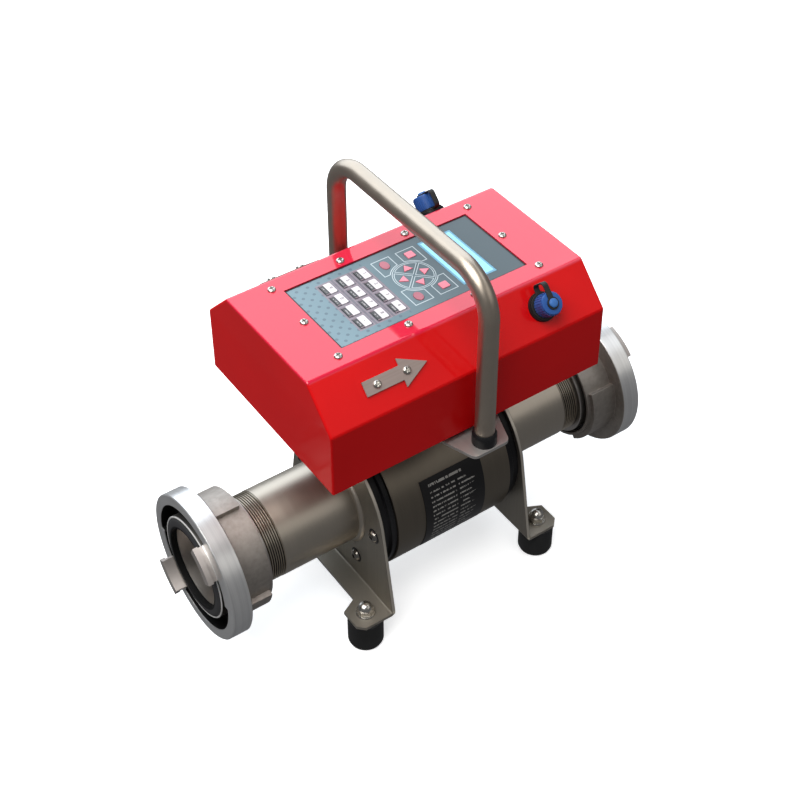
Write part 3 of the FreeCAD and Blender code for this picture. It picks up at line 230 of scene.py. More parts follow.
def couplingMetal(form):
    # bright turned rim and lips, a groove painted near-black as painted shade, pale lugs and a cast
    # grey collar
    metal = Finish("ringMetal", {"Metallic": 0.88})
    reach, radius = abs(metal.axes()[0]), metal.fromAxis()
    rim = reach.rise(*form["rimBack"]) * radius.rise(*form["rimRadius"])
    lug = reach.rise(*form["lugs"])
    # groove masks the groove's floor, which is painted near-black as painted shade
    groove = reach.rise(*form["grooveBack"]) * reach.rise(*form["grooveFront"])
    groove = groove * radius.rise(*form["grooveRadius"])
    turned = metal.grain(1.0, aroundX, 4.0)
    cast = metal.grain(260.0, detail=5.0)
    clouds = metal.grain(24.0)
    bright = metal.mixed((turned * 0.7 + clouds * 0.4).rise(0.3, 0.8),
                         (0.64, 0.64, 0.635), (0.82, 0.82, 0.81))
    dull = metal.mixed((cast * 0.5 + clouds * 0.5).rise(0.3, 0.7),
                       (0.295, 0.268, 0.242), (0.395, 0.362, 0.330))
    shown = metal.mixed(lug, metal.mixed(rim, dull, bright), (0.48, 0.44, 0.415))
    metal.set({"Base Color": metal.mixed(groove, shown, (0.012, 0.012, 0.012)),
               "Roughness": 0.50 - rim * (1.0 - lug) * 0.22 + groove * 0.2 + clouds * 0.06})
    return metal.bumped(turned * rim + cast * (1.0 - rim) * 2.0, 0.00002)


threadForm = {"crest": (0.0364, 0.0376)}


def threadMetal(form):
    # painted shade in the roots, fading to bright steel on the crests
    metal = Finish("threadSteel", {"Metallic": 1.0})
    crest = metal.fromAxis().rise(*form["crest"])
    turned = metal.grain(1.0, aroundX, 4.0)
    # dark is painted shade for the thread roots
    dark, bright = (0.08, 0.068, 0.054), (0.58, 0.52, 0.43)
    metal.set({"Base Color": metal.mixed(crest * (0.8 + turned * 0.3), dark, bright),
               "Roughness": 0.40 - crest * 0.14 + turned * 0.06})
    return metal.bumped(turned, 0.00001)


sheetForm = {"edgeInner": (0.0701, 0.0704), "edgeOuter": (0.0727, 0.0724),
             "flange": (0.0336, 0.0331)}


def bracketMetal(form):
    # brushed sheet with painted highlights on its edges and painted light on the upward-facing
    # bottom flange
    metal = Finish("sheetSteel", {"Metallic": 0.72})
    place = metal.axes()
    reach = abs(place[0] - sensorOffset * mm)
    # edge marks the sheet's edges, painted paler as a painted highlight
    edge = reach.rise(*form["edgeInner"]) * reach.rise(*form["edgeOuter"])
    # flange marks the bottom flange, painted paler as painted light from the sky
    flange = place[2].rise(*form["flange"])
    streaks, lighter, spread = brushGrain(metal, alongZ)
    face = metal.mixed(lighter, (0.20, 0.182, 0.152), (0.26, 0.236, 0.198))
    face = metal.mixed(flange, face, (0.30, 0.275, 0.235))
    metal.set({"Base Color": metal.mixed(edge, face, (0.56, 0.52, 0.45)),
               "Roughness": 0.30 + spread})
    return metal.bumped(streaks, 0.00001)


lipForm = {"edge": (0.2067, 0.2070)}


def lippedMetal(form):
    # dull turned body with a painted highlight along the face edge
    metal = brushedMetal("tailMetal", (0.50, 0.475, 0.445), 0.36, aroundX)
    # edge marks the face edge, painted bright and less metallic as a painted highlight
    edge = abs(metal.axes()[0]).rise(*form["edge"])
    body = Wire(metal, metal.shader.inputs["Base Color"].links[0].from_socket)
    return metal.set({"Base Color": metal.mixed(edge, body, (0.78, 0.77, 0.75)),
                      "Metallic": 1.0 - edge * 0.55})


sealForm = {"lip": (0.0366, 0.0362)}


def gasketRubber(form):
    # dark grey seat, with its inner lip painted black as painted shade inside the bore
    rubber = Finish("gasketRubber", {"Specular IOR Level": 0.12})
    # lip masks the inner lip, painted near-black as painted shade
    lip = rubber.fromAxis().rise(*form["lip"])
    clouds = rubber.grain(60.0)
    outer = rubber.mixed(clouds, (0.034, 0.034, 0.036), (0.046, 0.045, 0.047))
    rubber.set({"Base Color": rubber.mixed(lip, outer, (0.003, 0.003, 0.003)),
                "Roughness": 0.5 + clouds * 0.15})
    return rubber.bumped(rubber.grain(700.0), 0.00003)


labelForm = {"radius": 68.5, "pitch": 4.6, "first": 2.6, "rule": (0.85, 0.6), "left": 23.0,
             "right": 4.0, "ragged": 26.0, "gutter": 3.5, "gutterEdge": (1.2, 1.6), "low": 35.0,
             "high": (31.0, 30.4), "title": 34.4, "titleRule": (1.3, 1.0), "titleEnd": (10.4, 10.0)}


def printedPlate(form):
    # black enamel with plain light rules, read round the drum
    plate = Finish("plateBlack", {"Specular IOR Level": 0.25})
    x, y, z = plate.axes()
    up = z - axisHeight * mm
    along = x * perMetre - sensorOffset
    arc = up.maths("ARCTAN2", up, 0.0 - y) * form["radius"]
    row = abs(((arc - form["first"]) % form["pitch"]) - form["pitch"] / 2)
    ends = plate.grain(60.0, (0.2, 9.0, 9.0), 0.0) * form["ragged"]
    left = (along + form["left"]).rise(0.0, 0.4)
    right = (along - ends - form["right"]).rise(0.0, 0.4)
    columns = abs(along - form["gutter"]).rise(*form["gutterEdge"])
    height = (arc + form["low"]).rise(0.0, 0.6) * arc.rise(*form["high"])
    body = row.rise(*form["rule"]) * left * columns * (1.0 - right) * height
    title = abs(arc - form["title"]).rise(*form["titleRule"]) * left * along.rise(*form["titleEnd"])
    spots = plate.grain(700.0, (1.0, 0.3, 0.3), 1.0).rise(0.42, 0.48)
    printed = body.most(title) * spots * 0.8
    clouds = plate.grain(40.0)
    enamel = plate.mixed(clouds, (0.008, 0.008, 0.009), (0.016, 0.015, 0.015))
    return plate.set({"Base Color": plate.mixed(printed, enamel, (0.46, 0.45, 0.42)),
                      "Roughness": 0.34 + clouds * 0.1})


keyGrid = {"pitch": 15.8, "row": 25.7}
filmForm = {"dotPitch": 7.0, "dot": (2.6, 1.4), "dotEnd": (-19.0, -21.0),
            "field": (64.6, 18.4), "fieldHalf": (32.2, 31.8),
            "cell": (6.3, 7.3), "cellOuter": (0.9, 0.3), "cellInner": (-0.25, 0.05),
            "centre": 7.2, "corner": (3.4, 20.0, 31.0, 18.6, 11.0), "cornerLine": (0.42, 0.22),
            "quarter": 15.6, "spoke": 1.0, "ring": 17.1, "ringLine": (0.36, 0.16),
            "border": (85.4, 39.1)}
slant = 0.7071


def keyCells(finish):
    # place in the cell of each number key, up and to either side
    x, y = finish.flatMm()
    pitch, half = keyGrid["pitch"], keyGrid["pitch"] / 2
    return ((x + keyGrid["row"] + half) % pitch) - half, abs((y % pitch) - half)


def keypadFilm(form):
    # dotted end, key field, four outlined corner cells, the ring of the arrow keys and a near-black
    # border painted as the shade of the recess round the window
    film = Finish("overlayPrint", {"Specular IOR Level": 0.35})
    x, y = film.flatMm()
    across = abs(y)
    pitch = form["dotPitch"]
    spots = [((way * slant) % pitch) - pitch / 2 for way in (x + y, x - y)]
    dots = (spots[0] * spots[0] + spots[1] * spots[1]).rise(*form["dot"]) * x.rise(*form["dotEnd"])
    start, end = form["field"]
    field = (x + start).rise(0.0, 0.4) * (x + end).rise(0.4, 0.0) * across.rise(*form["fieldHalf"])
    row, column = keyCells(film)
    deep, wide = form["cell"]
    rim = (abs(row) - deep).most(column - wide)
    frames = field * rim.rise(*form["cellOuter"]) * rim.rise(*form["cellInner"])
    nav = x - form["centre"]
    reach = abs(nav)
    radius = (nav * nav + y * y) ** 0.5
    near, far, side, curve, gap = form["corner"]
    corner = (near - reach).most(reach - far).most(across - side).most(curve - radius)
    lines = abs(corner.most(gap - across)).rise(*form["cornerLine"])
    quarter = (radius - form["quarter"]).most(form["spoke"] - abs(reach - across) * slant)
    for loop in (quarter, radius - form["ring"]):
        lines = lines.most(abs(loop).rise(*form["ringLine"]))
    long, wide = form["border"]
    # the near-black border is painted shade where the cover's window edge shades the film
    border = (abs(x) - long).most(across - wide).rise(0.0, 0.3)
    clouds = film.grain(35.0)
    fade = (x + clouds * 40.0 - 20.0).rise(-90.0, 60.0)
    grey = film.mixed(fade, (0.155, 0.235, 0.275), (0.055, 0.078, 0.090))
    layers = [(dots * 0.5, (0.055, 0.075, 0.11)), (field * 0.7, (0.15, 0.115, 0.14)),
              (frames * 0.35, (0.42, 0.30, 0.34)), (lines * 0.8, (0.55, 0.62, 0.65)),
              (border, (0.016, 0.010, 0.011))]
    for amount, colour in layers:
        grey = film.mixed(amount, grey, colour)
    film.set({"Base Color": grey, "Roughness": 0.30 + clouds * 0.12})
    return film.bumped(film.grain(1500.0), 0.000008)


keyPrint = {"upper": (-1.5, -1.1), "label": (5.4, 5.0), "face": (5.4, 6.5), "bar": 3.3,
            "barHeight": (0.75, 0.45), "barEnd": (3.6, 3.2)}


def keyFinish(form):
    # white upper part, a short dark label under it and a mauve border on every number key
    key = Finish("numberKey", {})
    row, column = keyCells(key)
    upper = row.rise(*form["upper"])
    label = column.rise(*form["label"])
    deep, wide = form["face"]
    border = (abs(row) - deep).most(column - wide).rise(-0.2, 0.2)
    bar = abs(row + form["bar"]).rise(*form["barHeight"]) * column.rise(*form["barEnd"])
    bar = bar * key.grain(900.0, detail=0.0).rise(0.42, 0.5)
    mauve = (0.17, 0.125, 0.15)
    dark = key.mixed(bar * 0.6, (0.040, 0.042, 0.044), (0.50, 0.48, 0.50))
    shown = key.mixed(upper, key.mixed(label, mauve, dark), (0.62, 0.58, 0.61))
    key.set({"Base Color": key.mixed(border, shown, mauve),
             "Roughness": 0.36 + key.grain(50.0) * 0.1})
    return key.bumped(key.grain(1200.0), 0.000015)


screenForm = {"centre": 48.2, "half": (14.2, 29.6), "dot": 0.8, "gap": (0.66, 0.74)}


def lcdGlass(form):
    # lit screen with a faint grid of dots and a darker edge
    glass = Finish("displayGlass", {"Coat Weight": 0.6, "Coat Roughness": 0.04,
                                    "Emission Strength": 0.35})
    x, y = glass.flatMm()
    deep, wide = form["half"]
    edge = (abs(x - form["centre"]) - deep).most(abs(y) - wide).rise(-0.3, 0.5)
    gaps = [(way % form["dot"]).rise(*form["gap"]) for way in (x, y)]
    cells = gaps[0].most(gaps[1])
    lit = glass.mixed(cells * 0.25 + glass.grain(26.0) * 0.25,
                      (0.19, 0.50, 0.74), (0.11, 0.38, 0.62))
    colour = glass.mixed(edge, lit, (0.05, 0.20, 0.30))
    return glass.set({"Base Color": colour, "Emission Color": colour,
                      "Roughness": 0.1 + cells * 0.1})


redPaint = redCoat(coatForm)
tubeSteel = brushedMetal("tubeSteel", (0.49, 0.44, 0.372), 0.39, aroundX, 0.000006, 0.94)
threadSteel = threadMetal(threadForm)
drumSteel = brushedMetal("drumSteel", (0.192, 0.166, 0.132), 0.42, aroundX, 0.000008, 0.93)
sheetSteel = bracketMetal(sheetForm)
plateSteel = brushedMetal("plateSteel", (0.46, 0.44, 0.42), 0.42, alongY, 0.00001, 0.9, 0.72)
handleSteel = brushedMetal("handleSteel", (0.44, 0.38, 0.315), 0.35, satin, 0.00000003, 0.94, 0.95)
tailMetal = lippedMetal(lipForm)
boltSteel = brushedMetal("boltSteel", (0.56, 0.54, 0.50), 0.25, evenly)
darkBolt = brushedMetal("darkBolt", (0.30, 0.28, 0.25), 0.26, evenly)
arrowSteel = brushedMetal("arrowSteel", (0.37, 0.295, 0.27), 0.36, alongX, metallic=0.55)
ringMetal = couplingMetal(ringForm)
coilCopper = brushedMetal("coilCopper", (0.55, 0.24, 0.09), 0.35, windings)
nutBrass = brushedMetal("nutBrass", (0.60, 0.45, 0.18), 0.3, evenly)
blackPlastic = mouldedPlastic("blackPlastic", (0.008, 0.008, 0.009), 0.36, shine=0.16)
blackRubber = mouldedPlastic("blackRubber", (0.012, 0.012, 0.012), 0.58, 900.0, 0.00006)
greyRubber = gasketRubber(sealForm)
linerGrey = mouldedPlastic("linerGrey", (0.42, 0.37, 0.34), 0.45, 500.0)
bluePlastic = mouldedPlastic("bluePlastic", (0.016, 0.072, 0.26), 0.36)
paleBlue = mouldedPlastic("paleBlue", (0.035, 0.125, 0.36), 0.34)
boardGreen = mouldedPlastic("boardGreen", (0.02, 0.14, 0.05), 0.4, 200.0)
batteryGrey = mouldedPlastic("batteryGrey", (0.12, 0.13, 0.15), 0.45)
pinkKey = mouldedPlastic("pinkKey", (0.70, 0.20, 0.26), 0.42)
redKey = mouldedPlastic("redKey", (0.30, 0.10, 0.13), 0.42)
figureInk = mouldedPlastic("figureInk", (0.03, 0.028, 0.032), 0.5)
plateBlack = printedPlate(labelForm)
overlayPrint = keypadFilm(filmForm)
numberKey = keyFinish(keyPrint)
displayGlass = lcdGlass(screenForm)
print("finishes ready")


# places, from millimetres

def shift(x=0.0, y=0.0, z=0.0):
    return Matrix.Translation((x * mm, y * mm, z * mm))


def fourPlaces(x, y, z):
    return [shift(sensorOffset + i * x, j * y, z) for i in (-1, 1) for j in (-1, 1)]


def slopePlace(side, x, lift=0.0):
    tilt = Matrix.Rotation(-side * slopeAngle, 4, "X")
    return shift(x, side * slopeMiddle[0], slopeMiddle[1]) @ tilt @ shift(z=lift)


onAxis = shift(z=axisHeight)
onSensor = shift(x=sensorOffset, z=axisHeight)
mirrorEnd = Matrix.Rotation(math.pi, 4, "Z")


# mesh helpers

weldGap = 0.000002
flatEdge = 0.000001
edgeAngle = 32.0  # past which an edge counts as sharp
cornerShare = 0.3  # of a rounded edge, at the middle of its round


def pick(geom, kind):
    return [part for part in geom if isinstance(part, kind)]


def mirrored(points):
    return [(-along, radius) for along, radius in reversed(points)]


def roundCorner(end, radius, edge):
    soft = edge * cornerShare
    return [(end - edge, radius), (end - soft, radius - soft), (end, radius - edge)]


def closeSeams(bm):
    bmesh.ops.remove_doubles(bm, verts=bm.verts, dist=weldGap)
    bmesh.ops.dissolve_degenerate(bm, edges=bm.edges, dist=flatEdge)
    bmesh.ops.recalc_face_normals(bm, faces=bm.faces)


def spinOutline(bm, points, place=None, axis="X", steps=96):
    # points are (along the axis, radius) in millimetres, in a closed loop
    if axis == "X":
        way, spots = (1, 0, 0), [(a * mm, 0, r * mm) for a, r in points]
    else:
        way, spots = (0, 0, 1), [(r * mm, 0, a * mm) for a, r in points]
    verts = [bm.verts.new(spot) for spot in spots]
    edges = [bm.edges.new((verts[i - 1], verts[i])) for i in range(len(verts))]
    bmesh.ops.spin(bm, geom=verts + edges, cent=(0, 0, 0), axis=way, dvec=(0, 0, 0),
                   angle=fullTurn, steps=steps, use_merge=True, use_duplicate=False)
    if place is not None:
        bmesh.ops.transform(bm, matrix=place, verts=bm.verts)


def turnedSolid(points, place=None, axis="X", steps=96):
    bm = bmesh.new()
    spinOutline(bm, points, place, axis, steps)
    closeSeams(bm)
    return bm


def drawnSolid(corners, vector):
    # a flat loop of corners, drawn out along the vector
    bm = bmesh.new()
    end = bm.faces.new([bm.verts.new(corner) for corner in corners])
    made = bmesh.ops.extrude_face_region(bm, geom=[end])["geom"]
    bmesh.ops.translate(bm, vec=vector, verts=pick(made, bmesh.types.BMVert))
    bmesh.ops.recalc_face_normals(bm, faces=bm.faces)
    return bm


def addPrism(bm, radius, low, high):
    bmesh.ops.create_cone(bm, cap_ends=True, segments=6, radius1=radius * mm, radius2=radius * mm,
                          depth=(high - low) * mm, matrix=shift(z=(low + high) / 2))


def bevelEdges(bm, edges, width, segments):
    bmesh.ops.bevel(bm, geom=edges, offset=width * mm, offset_type="OFFSET", segments=segments,
                    profile=0.5, affect="EDGES", clamp_overlap=True, material=-1)


def softenEdges(bm, width, angle=edgeAngle):
    limit = math.radians(angle)
    sharp = [e for e in bm.edges if len(e.link_faces) == 2 and e.calc_face_angle(0.0) > limit]
    bevelEdges(bm, sharp, width, 2)


def nodeCopy(node):
    bm = bmesh.new()
    bm.from_mesh(nodes[node].data)
    bmesh.ops.remove_doubles(bm, verts=bm.verts, dist=weldGap)
    bmesh.ops.dissolve_limit(bm, angle_limit=math.radians(0.5), verts=bm.verts, edges=bm.edges,
                             delimit={"NORMAL"})
    return bm


def stamp(source, places, bm=None):
    # copies of source, which is used up
    if bm is None:
        bm = bmesh.new()
    stock = bpy.data.meshes.new("stock")
    source.to_mesh(stock)
    source.free()
    for place in places:
        copy = stock.copy()
        copy.transform(place)
        bm.from_mesh(copy)
        bpy.data.meshes.remove(copy)
    bpy.data.meshes.remove(stock)
    return bm


def carved(solid, cutter):
    pair = []
    for bm in (solid, cutter):
        mesh = bpy.data.meshes.new("carve")
        bm.to_mesh(mesh)
        bm.free()
        thing = bpy.data.objects.new("carve", mesh)
        scene.collection.objects.link(thing)
        pair.append(thing)
    work = pair[0].modifiers.new("carve", "BOOLEAN")
    work.operation = "DIFFERENCE"
    work.solver = "EXACT"
    work.object = pair[1]
    result = bmesh.new()
    result.from_object(pair[0], bpy.context.evaluated_depsgraph_get())
    for thing in pair:
        mesh = thing.data
        bpy.data.objects.remove(thing)
        bpy.data.meshes.remove(mesh)
    return result


def addPiece(name, bm, finish, body="meter", stands=(), smooth=34.0):
    mesh = bpy.data.meshes.new(name)
    bm.to_mesh(mesh)
    bm.free()
    mesh.shade_smooth()
    mesh.set_sharp_from_angle(angle=math.radians(smooth))
    piece = bpy.data.objects.new(name, mesh)
    scene.collection.objects.link(piece)
    for one in finish if isinstance(finish, (list, tuple)) else [finish]:
        mesh.materials.append(one.material)
    # keeps wide faces flat beside the soft edges
    flats = piece.modifiers.new("flatFaces", "WEIGHTED_NORMAL")
    flats.keep_sharp = True
    if body:
        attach(piece, body)
    if stands:
        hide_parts(*stands)
    return piece


def softCopy(node, form):
    bm = nodeCopy(node)
    softenEdges(bm, form["soft"], form.get("softAngle", edgeAngle))
    return bm


def softPiece(name, node, finish, form, body="meter"):
    return addPiece(name, softCopy(node, form), finish, body=body, stands=[node])


def dressNode(node, finish):
    mesh = nodes[node].data
    mesh.materials.clear()
    mesh.materials.append(finish.material)


# camera, floor and light

cameraSetup = {"place": (-0.5536, -0.7914, 1.0816), "azimuth": -34.973, "elevation": 38.781,
               "lens": 71.64, "sensor": 36.0, "shift": (-0.0082, -0.153), "clip": (0.01, 50.0)}
lightSetup = [
    {"name": "skyPanel", "place": (0.50, 1.75, 1.5), "target": (0, 0, 0.3),
     "size": (4.0, 3.0), "power": 88.0, "colour": (0.84, 0.92, 1.0)},
    {"name": "overPanel", "place": (-0.95, -0.20, 2.2), "target": (0, 0, 0.2),
     "size": (2.0, 2.0), "power": 74.0, "colour": (1.0, 0.99, 0.97)},
    {"name": "frontPanel", "place": (1.15, -1.65, 1.45), "target": (0, 0, 0.2),
     "size": (1.8, 1.2), "power": 4.6, "colour": (1.0, 0.97, 0.92)},
    {"name": "sidePanel", "place": (1.25, -0.45, 1.75), "target": (0.2, 0, 0.15),
     "size": (0.9, 0.8), "power": 3.2, "colour": (0.96, 0.98, 1.0)},
]
worldSetup = {"colour": (0.95, 0.96, 1.0), "strength": 0.17}
floorSetup = {"size": 8.0, "cells": 8, "tones": (0.84, 0.88), "glow": 0.55}


def aim(thing, place, target):
    thing.location = place
    thing.rotation_mode = "QUATERNION"
    thing.rotation_quaternion = (Vector(target) - Vector(place)).to_track_quat("-Z", "Y")


def makeCamera(setup):
    data = bpy.data.cameras.new("photoCamera")
    data.lens = setup["lens"]
    data.sensor_width = setup["sensor"]
    data.shift_x, data.shift_y = setup["shift"]
    data.clip_start, data.clip_end = setup["clip"]
    camera = bpy.data.objects.new("photoCamera", data)
    scene.collection.objects.link(camera)
    a, e = math.radians(setup["azimuth"]), math.radians(setup["elevation"])
    look = Vector((-math.sin(a) * math.cos(e), math.cos(a) * math.cos(e), -math.sin(e)))
    aim(camera, setup["place"], Vector(setup["place"]) + look)
    scene.camera = camera


def makeLights(setups):
    for setup in setups:
        data = bpy.data.lights.new(setup["name"], "AREA")
        data.shape = "RECTANGLE"
        data.size, data.size_y = setup["size"]
        data.energy = setup["power"]
        data.color = setup["colour"]
        light = bpy.data.objects.new(setup["name"], data)
        scene.collection.objects.link(light)
        aim(light, setup["place"], setup["target"])


def makeWorld(setup):
    world = bpy.data.worlds.new("studio")
    world.use_nodes = True
    backdrop = world.node_tree.nodes["Background"]
    backdrop.inputs["Color"].default_value = tone(*setup["colour"])
    backdrop.inputs["Strength"].default_value = setup["strength"]
    scene.world = world


def makeFloor(setup):
    paper = Finish("floorPaper", {"Roughness": 0.9, "Specular IOR Level": 0.1,
                                  "Emission Strength": setup["glow"],
                                  "Emission Color": tone(1.0, 1.0, 1.0)})
    low, high = [(grey, grey, grey) for grey in setup["tones"]]
    paper.set({"Base Color": paper.mixed(paper.grain(300.0), low, high)})
    bm = bmesh.new()
    bmesh.ops.create_grid(bm, x_segments=setup["cells"], y_segments=setup["cells"],
                          size=setup["size"])
    floor = addPiece("floor", bm, paper, body=None)
    floor.visible_glossy = False  # keeps the undersides dark
    floor.visible_diffuse = False


makeCamera(cameraSetup)
makeLights(lightSetup)
makeWorld(worldSetup)
makeFloor(floorSetup)
scene.view_settings.view_transform = "Standard"
print("camera, light and floor ready")


# measuring tube with its weld beads and the thread at each end

tubeForm = {"bore": 34.05, "thread": 36.1, "pipe": 38.05, "threadStart": 144.0, "reach": 190.0,
            "stepEdge": 0.3, "endEdge": 0.8, "beadAt": 72.9, "bead": 3.5, "steps": 128,
            "beadRise": ((0.0, 1.0), (0.35, 0.93), (0.68, 0.66), (0.92, 0.3), (1.0, 0.0))}
ridgeForm = {"pitch": 2.0, "foot": 36.0, "crest": 37.85, "start": 142.6, "end": 157.6, "steps": 44,
             "footShare": 0.84, "crestShare": 0.2}


def beadPoints(form, way):
    at = sensorOffset + way * form["beadAt"]
    size, pipe = form["bead"], form["pipe"]
    points = [(at, pipe)] + [(at + way * size * a, pipe + size * b) for a, b in form["beadRise"]]
    return points if way > 0 else list(reversed(points))


def makeTube(form):
    start, reach, pipe, thread = form["threadStart"], form["reach"], form["pipe"], form["thread"]
    step, end = form["stepEdge"], form["endEdge"]
    right = [(start - step, pipe), (start, pipe - step), (start, thread), (reach - end, thread),
             (reach, thread - end), (reach, form["bore"])]
    outline = mirrored(right) + beadPoints(form, -1) + beadPoints(form, 1) + right
    bm = turnedSolid(outline, onAxis, steps=form["steps"])
    addPiece("tubeBody", bm, tubeSteel, stands=["measuring_tube"])


def makeRidges(form):
    bm = bmesh.new()
    half, run = form["pitch"] / 2, form["end"] - form["start"]
    foot, crest = half * form["footShare"], half * form["crestShare"]
    section = [(-foot, form["foot"]), (-crest, form["crest"]),
               (crest, form["crest"]), (foot, form["foot"])]
    verts = [bm.verts.new(((form["start"] + a) * mm, 0, r * mm)) for a, r in section]
    face = bm.faces.new(verts)
    turns = run / form["pitch"]
    steps = round(turns * form["steps"])
    bmesh.ops.spin(bm, geom=verts + list(face.edges) + [face], cent=(0, 0, 0), axis=(1, 0, 0),
                   dvec=(run * mm / steps, 0, 0), angle=turns * fullTurn, steps=steps,
                   use_duplicate=False)
    closeSeams(bm)
    both = stamp(bm, [onAxis, onAxis @ mirrorEnd])
    addPiece("threadRidges", both, threadSteel)


makeTube(tubeForm)
makeRidges(ridgeForm)
print("tube ready")


# sensor drum, its black end rings and the curved plate

drumForm = {"radius": 68.5, "bore": 38.2, "half": 57.5, "edge": 0.8, "steps": 144}
endRingForm = {"bore": 38.4, "outer": 66.5, "inner": 63.5, "start": 57.5, "step": 62.5, "end": 69.9,
               "edge": 0.5, "steps": 128}


def makeDrum(form):
    right = roundCorner(form["half"], form["radius"], form["edge"]) + [(form["half"], form["bore"])]
    bm = turnedSolid(mirrored(right) + right, onSensor, steps=form["steps"])
    addPiece("drumShell", bm, drumSteel, stands=["sensor_housing"])


def makeEndRings(form):
    outer, inner, edge, bore = form["outer"], form["inner"], form["edge"], form["bore"]
    start, step, end = form["start"], form["step"], form["end"]
    ring = turnedSolid([
        (start, bore), (start, outer - edge), (start + edge, outer), (step - edge, outer),
        (step, outer - edge), (step, inner + edge), (step + edge, inner), (end - edge, inner),
        (end, inner - edge), (end, bore),
    ], steps=form["steps"])
    bm = stamp(ring, [onSensor, onSensor @ mirrorEnd])
    addPiece("endRings", bm, blackPlastic, stands=["end_rings"])


makeDrum(drumForm)
makeEndRings(endRingForm)
dressNode("nameplate", plateBlack)
dressNode("sensor_neck", drumSteel)
print("drum ready")


# brackets, bracket screws, feet and domed nuts

bracketForm = {"inner": 69.9, "floor": 30.0, "bend": 4.5, "reach": 90.0, "spare": 1.0, "soft": 0.45,
               "steps": 8}
frameScrewForm = {"head": 5.25, "height": 3.3, "rim": 0.5, "steps": 36,
                  "dome": ((0.5, 0.93), (0.8, 0.76), (1.0, 0.5)),
                  "socket": 2.1, "depth": 1.9, "spare": 1.0,
                  "face": 72.9, "circle": 55.0, "count": 6,
                  "neck": (17.0, 31.0, 209.7), "handle": (102.2, 206.7)}
# thin black rings under the bracket screws, standing in for the painted shade of the holes round
# the heads
screwShadeRingForm = {"inner": 4.9, "outer": 6.7, "height": 0.4, "rim": 0.6, "edge": 0.3, "steps": 40}
footForm = {"radius": 15.2, "height": 30.0, "edge": 3.5, "topEdge": 0.8, "x": 91.0, "y": 67.3,
            "steps": 72}
nutForm = {"across": 13.0, "height": 6.5, "seat": 33.0, "soft": 0.5, "softAngle": 50.0,
           "washer": 8.2, "washerRim": 0.9, "washerTop": 1.2, "washerEdge": 0.4, "washerSteps": 40,
           "dome": 5.0, "domeShare": 0.47, "domeSink": 0.5, "domeSteps": 36,
           "domeTurns": (0.2, 0.5, 0.8, 1.1, 1.35)}


def bendCutter(form, way):
    # takes the outer corner of the bottom bend down to an even sheet
    bend, spare = form["bend"], form["spare"]
    middle = (form["inner"] + bend, form["floor"] + bend)
    turns = [math.pi / 2 * i / form["steps"] for i in range(form["steps"] + 1)]
    loop = [(middle[0] - bend * math.sin(t), middle[1] - bend * math.cos(t)) for t in turns]
    loop += [(form["inner"] - spare, middle[1]), (form["inner"] - spare, form["floor"] - spare),
             (middle[0], form["floor"] - spare)]
    corners = [((sensorOffset + way * a) * mm, -form["reach"] * mm, z * mm) for a, z in loop]
    return drawnSolid(corners, (0, 2 * form["reach"] * mm, 0))


def makeBrackets(form):
    for end, way in (("inlet", -1), ("outlet", 1)):
        bm = carved(nodeCopy(end + "_bracket"), bendCutter(form, way))
        closeSeams(bm)
        softenEdges(bm, form["soft"])
        closeSeams(bm)
        addPiece(end + "BracketSheet", bm, sheetSteel,
                 stands=[end + "_bracket"])


def domedHead(form):
    radius, height = form["head"], form["height"]
    dome = [(height * a, radius * b) for a, b in form["dome"]]
    outline = [(0.0, 0.0), (0.0, radius), (form["rim"], radius)] + dome + [(height, 0.0)]
    return turnedSolid(outline, axis="Z", steps=form["steps"])


def frameScrewPlaces(form):
    # those in the brackets come first
    places = []
    for way in (-1, 1):
        turn = Matrix.Rotation(way * math.pi / 2, 4, "Y")
        for step in range(form["count"]):
            angle = step * fullTurn / form["count"]
            y, z = form["circle"] * math.cos(angle), form["circle"] * math.sin(angle)
            places.append(shift(sensorOffset + way * form["face"], y, axisHeight + z) @ turn)
    y, z = form["handle"]
    under = Matrix.Rotation(math.pi, 4, "X")
    places += fourPlaces(*form["neck"])
    return places + [shift(sensorOffset, j * y, z) @ under for j in (-1, 1)]


def makeFrameScrews(form, washer):
    cutter = bmesh.new()
    height = form["height"]
    addPrism(cutter, form["socket"], height - form["depth"], height + form["spare"])
    head = carved(domedHead(form), cutter)
    closeSeams(head)
    places = frameScrewPlaces(form)
    bm = stamp(head, places)
    addPiece("frameScrewHeads", bm, darkBolt, stands=["frame_screws"])
    # the black rings are painted shade of the screw holes, not real washers
    inner, outer, thick = washer["inner"], washer["outer"], washer["height"]
    ring = turnedSolid([(0.0, inner), (0.0, outer), (thick * washer["rim"], outer),
                        (thick, outer - washer["edge"]), (thick, inner)],
                       axis="Z", steps=washer["steps"])
    bm = stamp(ring, places[:2 * form["count"]])
    addPiece("frameScrewShadeRings", bm, blackPlastic)


def makeFeet(form):
    radius, height, edge, topEdge = form["radius"], form["height"], form["edge"], form["topEdge"]
    soft = edge * cornerShare
    foot = turnedSolid([(0.0, 0.0), (0.0, radius - edge), (soft, radius - soft), (edge, radius),
                        (height - topEdge, radius), (height, radius - topEdge), (height, 0.0)],
                       axis="Z", steps=form["steps"])
    bm = stamp(foot, fourPlaces(form["x"], form["y"], 0.0))
    addPiece("rubberFeet", bm, blackRubber, stands=["rubber_feet"])


